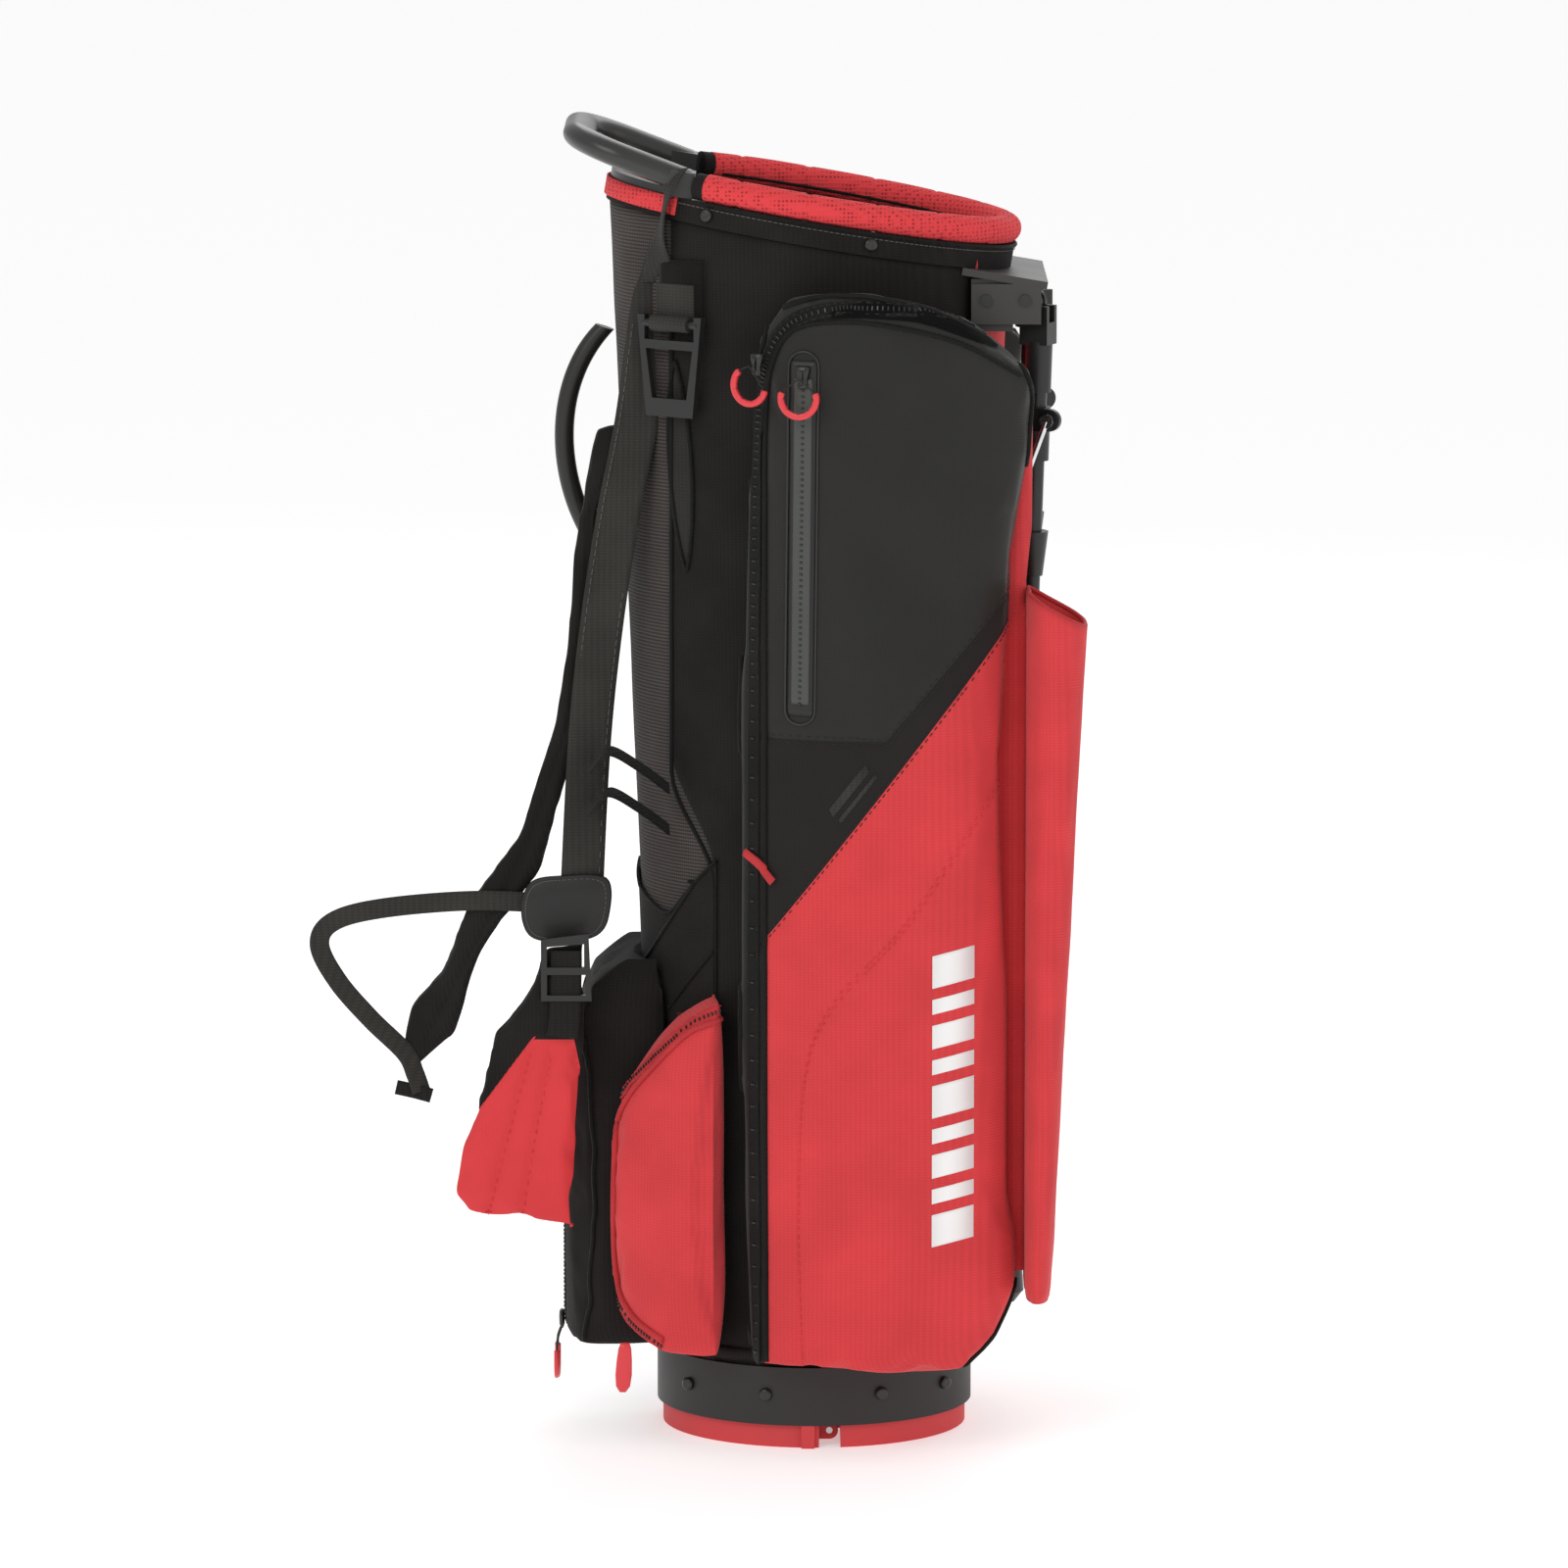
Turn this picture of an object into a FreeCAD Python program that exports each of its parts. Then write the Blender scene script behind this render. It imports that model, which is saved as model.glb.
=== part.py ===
import FreeCAD, Part
import math
import os
import re
import Sketcher

# Golf stand bag.  +X front (legs), -X spine (handle and straps), +Z up,
# origin on the floor at the centre of the sole.  Millimetres.

SIZES = [
    # bag tube
    ("base_a", 103.9), ("base_b", 91.9), ("cup_top_z", 56), ("body_low_z", 48),
    ("rim_a", 136), ("rim_b", 103), ("rim_mid_z", 842), ("rim_tilt", 9.65),
    ("wall", 3), ("gap", 0.3), ("panel_rear_x", -68), ("panel_front_x", 74),
    # base cup and sole
    ("cup_wall", 3), ("sole_thick", 16), ("floor_thick", 3.5), ("sole_inset", 0.9),
    ("flex_x", 10), ("flex_z", 8), ("flex_pin_r", 2.2), ("knuckle_r", 6), ("knuckle_split_y", 42),
    ("pin_half", 74), ("ramp_angle", 24), ("ramp_end_x", 95), ("base_rivet_r", 5.5), ("rivet_head", 1.8),
    # rim: distances along the tilted rim axis, 0 at the middle of the cuff roll
    ("cuff_r", 9), ("cuff_a", 131.5), ("cuff_b", 97.5), ("cuff_end_x", -72), ("trim_len", 7),
    ("collar_high", 15.4), ("frame_out_a", 134.5), ("frame_thick", 5), ("band_thick", 3.2),
    ("bar_wide", 12), ("bar_deep", 13), ("bar_rear_x", -30), ("bar_front_x", 45), ("sheet_thick", 1.6),
    ("stay_r", 3), ("stay_inset", 4.4),
    # lift handle
    ("handle_arm_y", 69), ("handle_wide", 22), ("handle_thick", 17), ("handle_reach", 78),
    ("handle_bend", 34), ("handle_rise", 21), ("handle_root_x", -86), ("slot_half_y", 21),
    # stand
    ("splay", 25), ("pivot_x", 143.6), ("pivot_y", 48), ("pivot_z", 775), ("lug_r", 8), ("lug_thick", 8),
    ("fin_r", 9), ("fin_thick", 3.8), ("run_gap", 0.4), ("leg_pin_r", 2.5), ("leg_lean", 2),
    ("leg_r", 6.25), ("leg_wall", 1.2), ("leg_fwd", 7.1), ("leg_top_z", -26), ("leg_len", 640),
    ("clamp_r", 9), ("clamp_len", 36), ("clamp_z", -88), ("ear_x", 18), ("ear_z", -78), ("ear_r", 7.5),
    ("ear_thick", 4), ("grip_len", 30), ("grip_z", -184), ("foot_r", 13), ("foot_len", 42),
    ("housing_out_y", 66), ("housing_deep", 35), ("housing_nose", 18), ("plate_thick", 5),
    ("rod_r", 2.5), ("rod_foot_x", 92), ("rod_top_x", 116), ("rod_top_z", 640), ("rod_travel", 36.5),
    ("bar_r", 3), ("bar_x", 134.5), ("bow_wire_r", 2), ("bow_x", -4), ("bow_z", -135),
    ("bow_len", 61.2), ("bow_lean", 21.12), ("bow_y", 12.9), ("eye_r", 4.6),
    # pockets
    ("side_a", 150), ("side_b", 127), ("side_cx", 45), ("side_cy", 20), ("side_rear_x", -56),
    ("side_front_x", 142), ("side_low_z", 60), ("side_top_z", 793), ("side_split_z", 478), ("far_b", 108),
    ("ball_a", 147), ("ball_b", 128), ("ball_cx", -17), ("ball_low_z", 62), ("ball_top_z", 318),
    ("spine_a", 171), ("spine_b", 150), ("spine_half_y", 58), ("spine_low_z", 58), ("spine_top_z", 335),
    ("sleeve_back_x", 142.4), ("sleeve_out_x", 179), ("sleeve_near_y", 146), ("sleeve_far_y", 86),
    ("sleeve_low_z", 112), ("sleeve_rim_z", 588), ("sleeve_wall", 2.2), ("sleeve_slant", 15),
    # zips
    ("zip_lift", 0.5), ("slider_wide", 10), ("slider_thick", 5), ("slider_long", 15),
    ("apparel_x", -38), ("apparel_yaw", 31.9), ("apparel_z", 742),
    ("valuables_x", -8), ("valuables_yaw", 17.7), ("valuables_z", 735), ("valuables_len", 245),
    ("ring_r", 13), ("ring_wire_r", 1.9), ("welt_wide", 20), ("welt_thick", 1.6),
    # carrying parts
    ("grab_r", 6.5), ("grab_root_x", -134), ("grab_top_z", 753), ("grab_low_z", 588), ("grab_out", 31),
    ("hook_wide", 52), ("hook_high", 62), ("hook_thick", 5), ("hook_x", -92), ("hook_z", 764),
    ("hook_yaw", 34.7), ("bar_off", 6.6),
    ("web_thick", 1.8), ("web_half", 15), ("hub_thick", 4), ("pad_thick", 17), ("strap_y", 60), ("hub_z", 365),
]

IDENTIFIER = re.compile(r"\b([a-z][a-z]*_[a-z_]+|wall|gap|splay)\b")
document = FreeCAD.newDocument("golf_stand_bag")
sheet = document.addObject("Spreadsheet::Sheet", "dims")
for row, (alias, value) in enumerate(SIZES, start=1):
    sheet.set("A%d" % row, str(value))
    sheet.setAlias("A%d" % row, alias)
document.recompute()
NODES = []


def f(text):
    """An expression on the sheet: each size name becomes dims.name."""
    return IDENTIFIER.sub(r"dims.\1", str(text))


def bind(item, **sizes):
    for name, text in sizes.items():
        item.setExpression(name, f(text))
    return item


def place(item, x=0, y=0, z=0, axis=None, turn=None):
    """Put an object at x, y, z, turned about an axis; every value is an expression."""
    if axis:
        item.Placement = FreeCAD.Placement(FreeCAD.Vector(), FreeCAD.Rotation(FreeCAD.Vector(*axis), 10))
        item.setExpression("Placement.Rotation.Angle", "(%s) * 1 deg" % f(turn))
    for letter, text in zip("xyz", (x, y, z)):
        if text != 0:
            item.setExpression("Placement.Base.%s" % letter, f(text))
    return item


def new(kind, name):
    return document.addObject(kind, name)


def box(name, x, y, z):
    """A box from three (low, high) pairs."""
    item = new("Part::Box", name)
    for side, (low, high) in zip(("Length", "Width", "Height"), (x, y, z)):
        bind(item, **{side: "(%s) - (%s)" % (high, low)})
    return place(item, x[0], y[0], z[0])


def rod(name, radius, length, x=0, y=0, z=0, axis=None, turn=None):
    item = bind(new("Part::Cylinder", name), Radius=radius, Height=length)
    return place(item, x, y, z, axis, turn)


def cone(name, low, high, length, x=0, y=0, z=0, axis=None, turn=None):
    item = bind(new("Part::Cone", name), Radius1=low, Radius2=high, Height=length)
    return place(item, x, y, z, axis, turn)


def oval(name, a, b, x=0, y=0, z=0, axis=None, turn=None):
    item = bind(new("Part::Ellipse", name), MajorRadius=a, MinorRadius=b)
    return place(item, x, y, z, axis, turn)


def loft(name, sections, ruled=True):
    item = new("Part::Loft", name)
    item.Sections = sections
    item.Solid = True
    item.Ruled = ruled
    return item


def oval_block(name, a, b, low, high, cx=0, cy=0):
    """An upright solid with an oval plan."""
    return loft(name, [oval(name + "_foot", a, b, cx, cy, low), oval(name + "_head", a, b, cx, cy, high)])


def outline(name, points, side_view=False):
    """A closed sketch with each corner held by two bound distances, in plan or side view."""
    sketch = new("Sketcher::SketchObject", name)
    count = len(points)
    corner = [FreeCAD.Vector(90 * math.cos(6.283 * k / count), 90 * math.sin(6.283 * k / count), 0)
              for k in range(count)]
    for k in range(count):
        sketch.addGeometry(Part.LineSegment(corner[k], corner[(k + 1) % count]), False)
    for k in range(count):
        sketch.addConstraint(Sketcher.Constraint("Coincident", k, 2, (k + 1) % count, 1))
    for k, (across, up) in enumerate(points):
        for kind, start, text in (("DistanceX", corner[k].x, across), ("DistanceY", corner[k].y, up)):
            number = sketch.addConstraint(Sketcher.Constraint(kind, k, 1, start))
            sketch.setExpression("Constraints[%d]" % number, f(text))
    if side_view:
        sketch.Placement = FreeCAD.Placement(FreeCAD.Vector(), FreeCAD.Rotation(FreeCAD.Vector(1, 0, 0), 90))
    return sketch


def prism(name, points, low, high, side_view=False):
    """A straight solid on an outline: from z low to z high, or in side view from y low to y high."""
    item = new("Part::Extrusion", name)
    item.Base = outline(name + "_outline", points, side_view)
    item.DirMode = "Custom"
    item.Dir = FreeCAD.Vector(0, 1, 0) if side_view else FreeCAD.Vector(0, 0, 1)
    item.Solid = True
    return bind(item, LengthFwd=high, LengthRev="-(%s)" % low)


def cut(name, base, tool):
    item = new("Part::Cut", name)
    item.Base = base
    item.Tool = tool
    return item


def fuse(name, *shapes):
    item = new("Part::MultiFuse", name)
    item.Shapes = list(shapes)
    return item


def common(name, *shapes):
    item = new("Part::MultiCommon", name)
    item.Shapes = list(shapes)
    return item


def mirrored(name, source):
    item = new("Part::Mirroring", name)
    item.Source = source
    item.Normal = FreeCAD.Vector(0, 1, 0)
    return item


def group(name, source):
    """One shape held in a compound, so that it can be placed again as a whole."""
    item = new("Part::Compound", name)
    item.Links = [source]
    return item


def node(item, label):
    item.Label = label
    if item.Label != label:
        raise RuntimeError("the label %s is taken" % label)
    NODES.append(item)
    return item


def on_rim(item):
    """Tilt an object made about the cuff's own axis into place."""
    return place(item, z="rim_mid_z", axis=(0, 1, 0), turn="rim_tilt")


def on_leg(item):
    """Put an object made about the near leg's pivot into place."""
    return place(item, "pivot_x", "-pivot_y", "pivot_z", axis=(0, 0, 1), turn="-splay")


# ---------------------------------------------------------------- bag tube
def tube_block(name, grow):
    """The bag tube's solid from the base cup to the rim, grown by a distance all round."""
    low = oval(name + "_low", "base_a + (%s)" % grow, "base_b + (%s)" % grow, z="body_low_z")
    top = oval(name + "_top", "rim_a + (%s)" % grow, "rim_b + (%s)" % grow,
               "-(collar_high + cuff_r + 2 * gap) * sin(rim_tilt * 1 deg)", 0,
               "rim_mid_z - (collar_high + cuff_r + 2 * gap) * cos(rim_tilt * 1 deg)", (0, 1, 0), "rim_tilt")
    return loft(name, [low, top])


def slab(name, x=("-400", "400"), y=("-400", "400"), z=("-10", "1000")):
    return box(name, x, y, z)


def build_tube():
    slot = box("yoke_slot", ("100", "160"), ("-bar_r - 2.5", "bar_r + 2.5"),
               ("rod_top_z - bar_r - 4", "rod_top_z + rod_travel + bar_r + 4"))
    whole = cut("tube_whole", tube_block("tube_outer", "0"), tube_block("tube_inner", "-wall"))
    skin = cut("tube_skin", whole, slot)
    rear = slab("rear_zone", x=("-400", "panel_rear_x"))
    front = slab("front_zone", x=("panel_front_x", "400"))
    near = slab("near_zone", x=("panel_rear_x", "panel_front_x"), y=("-400", "0"))
    far = slab("far_zone", x=("panel_rear_x", "panel_front_x"), y=("0", "400"))
    node(common("spine_cloth", skin, rear), "spine_panel")
    node(common("near_cloth", skin, near), "near_panel")
    node(common("far_cloth", skin, far), "far_panel")
    node(common("front_cloth", skin, front), "front_panel")


def stay(name, angle):
    """One stay rod, lying along the tube's straight wall line at an angle round the oval."""
    low_a, low_b = "(base_a - wall - stay_inset)", "(base_b - wall - stay_inset)"
    top_a, top_b = "(rim_a - wall - stay_inset)", "(rim_b - wall - stay_inset)"
    turn = "cos(%s * 1 deg)" % angle, "sin(%s * 1 deg)" % angle
    drop = "(collar_high + cuff_r + 2 * gap)"
    low = oval(name + "_low", "stay_r", "stay_r - 0.001", "%s * %s" % (low_a, turn[0]),
               "%s * %s" % (low_b, turn[1]), "sole_thick + floor_thick")
    high_x = "%s * %s * cos(rim_tilt * 1 deg) - %s * sin(rim_tilt * 1 deg)" % (top_a, turn[0], drop)
    high_z = "rim_mid_z - %s * cos(rim_tilt * 1 deg) - %s * %s * sin(rim_tilt * 1 deg) - 2" % (
        drop, top_a, turn[0])
    top = oval(name + "_top", "stay_r", "stay_r - 0.001", high_x, "%s * %s" % (top_b, turn[1]), high_z)
    return loft(name, [low, top])


# ---------------------------------------------------------------- base
def build_base():
    ring_out = oval_block("cup_out", "base_a + gap * 2 + cup_wall", "base_b + gap * 2 + cup_wall",
                          "sole_thick", "cup_top_z")
    ring_in = oval_block("cup_in", "base_a + gap * 2", "base_b + gap * 2", "sole_thick - 1", "cup_top_z + 1")
    ring = cut("cup_ring", ring_out, ring_in)
    wide = oval_block("floor_wide", "base_a + gap * 2 + 1", "base_b + gap * 2 + 1", "sole_thick",
                      "body_low_z - gap")
    slim = oval_block("floor_slim", "base_a - wall - gap", "base_b - wall - gap", "sole_thick", "90")
    reach = fuse("floor_reach", wide, slim)
    rise = "(ramp_end_x - flex_x + 3) * tan(ramp_angle * 1 deg)"
    floor = prism("cup_floor", [
        ("-150", "sole_thick"), ("flex_x - 3", "sole_thick + 0.3"),
        ("ramp_end_x", "sole_thick + 0.3 + %s" % rise), ("150", "sole_thick + 0.3 + %s" % rise),
        ("150", "sole_thick + 3.3 + %s" % rise), ("ramp_end_x", "sole_thick + 3.3 + %s" % rise),
        ("flex_x - 3", "sole_thick + floor_thick"), ("-150", "sole_thick + floor_thick")],
        "-150", "150", side_view=True)
    cup = fuse("cup_solid", ring, common("floor_trimmed", reach, floor))
    hole = rod("rod_hole", "rod_r + 2.2", "60", "rod_foot_x + 1.6", 0, "sole_thick + 14")
    node(cut("base_moulding", cup, hole), "base_cup")

    plan = oval_block("sole_plan", "base_a + gap * 2 - sole_inset", "base_b + gap * 2 - sole_inset",
                      "0", "sole_thick")
    ribs = common("sole_rib", oval_block("rib_plan", "base_a + cup_wall", "base_b + cup_wall", "0", "sole_thick"),
                  slab("rib_zone", x=("flex_x - 19", "flex_x - 10")))
    rear = common("rear_half", plan, slab("rear_sole_zone", x=("-200", "flex_x - knuckle_r - 1")))
    arms = []
    for side, (low, high) in {"near": ("-pin_half", "-knuckle_split_y - gap"),
                              "far": ("knuckle_split_y + gap", "pin_half")}.items():
        arms.append(box("rear_arm_" + side, ("flex_x - knuckle_r - 2", "flex_x"), (low, high),
                        ("flex_z - knuckle_r", "flex_z + knuckle_r")))
        arms.append(rod("rear_knuckle_" + side, "knuckle_r", "(%s) - (%s)" % (high, low), "flex_x",
                        high, "flex_z", (1, 0, 0), "90"))
    bore = rod("rear_bore", "flex_pin_r + 0.05", "400", "flex_x", "200", "flex_z", (1, 0, 0), "90")
    node(cut("rear_rubber", fuse("rear_solid", rear, ribs, *arms), bore), "rear_sole")

    plate_plan = oval_block("plate_plan", "base_a + gap * 2 - sole_inset - 0.2",
                            "base_b + gap * 2 - sole_inset - 0.2", "0", "sole_thick - gap")
    plate = common("plate_half", plate_plan, slab("plate_zone", x=("flex_x + knuckle_r + 1.5", "200")))
    link = box("plate_arm", ("flex_x", "flex_x + knuckle_r + 2"), ("-knuckle_split_y", "knuckle_split_y"),
               ("flex_z - knuckle_r", "flex_z + knuckle_r"))
    knuckle = rod("plate_knuckle", "knuckle_r", "knuckle_split_y * 2", "flex_x", "knuckle_split_y",
                  "flex_z", (1, 0, 0), "90")
    bore = rod("plate_bore", "flex_pin_r + 0.05", "400", "flex_x", "200", "flex_z", (1, 0, 0), "90")
    node(cut("plate_rubber", fuse("plate_solid", plate, link, knuckle), bore), "foot_plate")
    node(rod("flex_pin", "flex_pin_r", "pin_half * 2", "flex_x", "pin_half", "flex_z", (1, 0, 0), "90"),
         "foot_hinge_pin")
    node(fuse("cup_rivets", *[side_rivet("cup_rivet_%d" % k, x, side) for k, (x, side) in enumerate(
        [(x, side) for x in (-85, -33, 45, 88) for side in (-1, 1)])]), "base_rivets")


def side_rivet(name, x, side):
    """A flat rivet head on the base band at x, on one side, facing straight out of the oval."""
    a, b = "(base_a + gap * 2 + cup_wall)", "(base_b + gap * 2 + cup_wall)"
    y = "%d * %s * sqrt(1 - (%d / %s)^2)" % (side, b, x, a)
    item = rod(name, "base_rivet_r", "rivet_head", x, y, "37")
    slope = math.degrees(math.atan2(side * math.sqrt(1 - (x / 107.5) ** 2) / 95.5, x / 107.5 ** 2 * 1.0))
    item.Placement = FreeCAD.Placement(FreeCAD.Vector(), FreeCAD.Rotation(slope, 90, 0))
    return place(item, x, y, "37")


# ---------------------------------------------------------------- rim
def rim_ring(name, out_a, out_b, thick, low, high):
    outer = oval_block(name + "_out", out_a, out_b, low, high)
    inner = oval_block(name + "_in", "%s - (%s)" % (out_a, thick), "%s - (%s)" % (out_b, thick),
                       "%s - 1" % low, "%s + 1" % high)
    return cut(name, outer, inner)


def roll(name, radius, end_x):
    """The padded roll round the rim, from the front both ways back to x = end_x."""
    spine = oval(name + "_path", "cuff_a", "cuff_b")
    bind(spine, Angle2="acos((%s) / cuff_a)" % end_x)
    ring = bind(new("Part::Circle", name + "_round"), Radius=radius)
    place(ring, "cuff_a", 0, 0, (1, 0, 0), "90")
    half = new("Part::Sweep", name + "_far")
    half.Sections = [ring]
    half.Spine = (spine, ["Edge1"])
    half.Solid = True
    half.Frenet = False
    return fuse(name, half, mirrored(name + "_near", half))


def build_rim():
    low, high = "-(collar_high + cuff_r + gap)", "-(cuff_r + gap)"
    frame_b = "frame_out_a - cuff_a + cuff_b"
    node(on_rim(rim_ring("frame_ring", "frame_out_a", frame_b, "frame_thick", low, high)), "collar_frame")
    out_a, out_b = "frame_out_a + gap + band_thick", "%s + gap + band_thick" % frame_b
    node(on_rim(rim_ring("band_ring", out_a, out_b, "band_thick", low, high)), "collar_band")
    heads = []
    for k, (x, side) in enumerate([(-70, -1), (40, -1), (-70, 1), (40, 1)]):
        y = "%d * (%s) * sqrt(1 - (%d / (%s))^2)" % (side, out_b, x, out_a)
        head = rod("collar_head_%d" % k, "base_rivet_r", "rivet_head", x, y, "-cuff_r - gap - collar_high / 2")
        slope = math.degrees(math.atan2(side * math.sqrt(1 - (x / 138.0) ** 2) / 104.0, x / 138.0 ** 2))
        head.Placement = FreeCAD.Placement(FreeCAD.Vector(), FreeCAD.Rotation(slope, 90, 0))
        heads.append(place(head, x, y, "-cuff_r - gap - collar_high / 2"))
    node(on_rim(fuse("collar_heads", *heads)), "collar_rivets")
    cuff = roll("cuff_ring", "cuff_r", "cuff_end_x")
    node(on_rim(cuff), "cuff_roll")
    longer = roll("trim_ring", "cuff_r - 0.1", "cuff_end_x - trim_len")
    node(on_rim(cut("trim_cut", longer, roll("trim_room", "cuff_r + 1", "cuff_end_x"))), "cuff_trims")
    in_a, in_b = "frame_out_a - frame_thick - gap", "%s - frame_thick - gap" % frame_b
    top, under = "-cuff_r - gap - 1", "-cuff_r - gap - 1 - bar_deep"

    def bars(name):
        return oval_block(name, in_a, in_b, under, top)
    half = "bar_wide / 2"
    node(on_rim(common("rear_bar", bars("rear_bar_plan"), slab("rear_bar_zone", (
        "bar_rear_x - " + half, "bar_rear_x + " + half), z=("-90", "90")))), "divider_bar_rear")
    node(on_rim(common("front_bar", bars("front_bar_plan"), slab("front_bar_zone", (
        "bar_front_x - " + half, "bar_front_x + " + half), z=("-90", "90")))), "divider_bar_front")
    long_low = slab("long_bar_a", ("bar_rear_x + %s + gap" % half, "bar_front_x - %s - gap" % half),
                    ("-" + half, half), ("-90", "90"))
    long_high = slab("long_bar_b", ("bar_front_x + %s + gap" % half, "400"), ("-" + half, half), ("-90", "90"))
    node(on_rim(common("long_bar", bars("long_bar_plan"), fuse("long_zone", long_low, long_high))),
         "divider_bar_long")
    sheets = []
    inside = tube_block("sheet_room", "-wall - 1.5")
    ends = "rim_mid_z - collar_high - cuff_r - bar_deep"
    for name, x, y, z in (
            ("rear", ("bar_rear_x - sheet_thick", "bar_rear_x + sheet_thick"), ("-150", "150"),
             ("sole_thick + floor_thick", "845")),
            ("front", ("bar_front_x - sheet_thick", "bar_front_x + sheet_thick"), ("-150", "150"),
             ("sole_thick + 26", "835")),
            ("mid", ("bar_rear_x + sheet_thick", "bar_front_x - sheet_thick"), ("-0.8", "0.8"), ("60", "840")),
            ("nose", ("bar_front_x + sheet_thick", "rod_foot_x - 7"), ("-0.8", "0.8"), ("68", "600"))):
        sheets.append(common("sheet_" + name, inside, slab("sheet_zone_" + name, x, y, z)))
    node(fuse("sheets", *sheets), "divider_sheets")
    node(fuse("stays", stay("stay_near", "218"), stay("stay_far", "142"), stay("stay_rear", "180")), "stay_rods")


def build_handle():
    """A U of rounded section: two arms and a crosspiece with round bends, on two root blocks."""
    reach, arm, bend = "handle_reach", "handle_arm_y", "handle_bend"
    path = new("Sketcher::SketchObject", "handle_path")
    vector = FreeCAD.Vector
    path.addGeometry(Part.LineSegment(vector(0, -69, 0), vector(-44, -69, 0)), False)
    path.addGeometry(Part.ArcOfCircle(Part.Circle(vector(-44, -35, 0), vector(0, 0, 1), 34), math.pi,
                                      math.pi * 1.5), False)
    path.addGeometry(Part.LineSegment(vector(-78, -35, 0), vector(-78, 35, 0)), False)
    path.addGeometry(Part.ArcOfCircle(Part.Circle(vector(-44, 35, 0), vector(0, 0, 1), 34), math.pi / 2,
                                      math.pi), False)
    path.addGeometry(Part.LineSegment(vector(-44, 69, 0), vector(0, 69, 0)), False)
    limit = Sketcher.Constraint
    for first, end, second, start in ((0, 2, 1, 2), (1, 1, 2, 1), (2, 2, 3, 2), (3, 1, 4, 1)):
        path.addConstraint(limit("Tangent", first, end, second, start))
    path.addConstraint(limit("Horizontal", 0))
    path.addConstraint(limit("Horizontal", 4))
    path.addConstraint(limit("Vertical", 2))
    for kind, item, point, start, text in (
            ("DistanceX", 0, 1, 0.0, "0"), ("DistanceX", 4, 2, 0.0, "0"), ("DistanceX", 2, 1, -78.0, "-" + reach),
            ("DistanceY", 0, 1, -69.0, "-" + arm), ("DistanceY", 4, 2, 69.0, arm)):
        number = path.addConstraint(limit(kind, item, point, start))
        path.setExpression("Constraints[%d]" % number, f(text))
    number = path.addConstraint(limit("Radius", 1, 34.0))
    path.setExpression("Constraints[%d]" % number, f(bend))
    number = path.addConstraint(limit("Radius", 3, 34.0))
    path.setExpression("Constraints[%d]" % number, f(bend))
    ring = oval("handle_section", "handle_wide / 2", "handle_thick / 2", 0, "-handle_arm_y", 0, (1, 1, 1), "120")
    loop = new("Part::Sweep", "handle_loop")
    loop.Sections = [ring]
    loop.Spine = (path, ["Edge1", "Edge2", "Edge3", "Edge4", "Edge5"])
    loop.Solid = True
    loop.Frenet = False
    place(loop, "handle_root_x", 0, 1, (0, 1, 0), "handle_rise - rim_tilt")
    blocks = []
    for side, y in (("near", "-handle_arm_y"), ("far", "handle_arm_y")):
        blocks.append(box("root_" + side, ("handle_root_x - 13", "cuff_end_x - trim_len - gap - 2.4"),
                          ("%s - handle_wide / 2" % y, "%s + handle_wide / 2" % y), ("-cuff_r - gap", "cuff_r - 1")))
    rim = oval_block("root_rim", "frame_out_a + 3", "frame_out_a - cuff_a + cuff_b + 3", "-cuff_r - gap",
                     "-cuff_r + 4.7")
    plate = common("root_plate", rim, slab("root_plate_zone", ("-150", "handle_root_x - 10"), z=("-90", "90")))
    slot = box("strap_slot", ("-125", "-117"), ("-slot_half_y", "slot_half_y"), ("-30", "30"))
    node(on_rim(cut("handle_moulding", fuse("handle_solid", loop, plate, *blocks), slot)), "lift_handle")


# ---------------------------------------------------------------- stand
def leaning(item, x, y, z):
    return place(item, x, y, z, (0, 1, 0), "leg_lean")


def along_leg(z):
    """The leg's centre at a height z below the pivot, in the leg's own frame."""
    return "leg_fwd + ((%s) - leg_top_z) * tan(leg_lean * 1 deg)" % z


def across(name, radius, low, high, x=0, z=0):
    """A cylinder across the leg, from y low to y high."""
    return rod(name, radius, "(%s) - (%s)" % (high, low), x, high, z, (1, 0, 0), "90")


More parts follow.
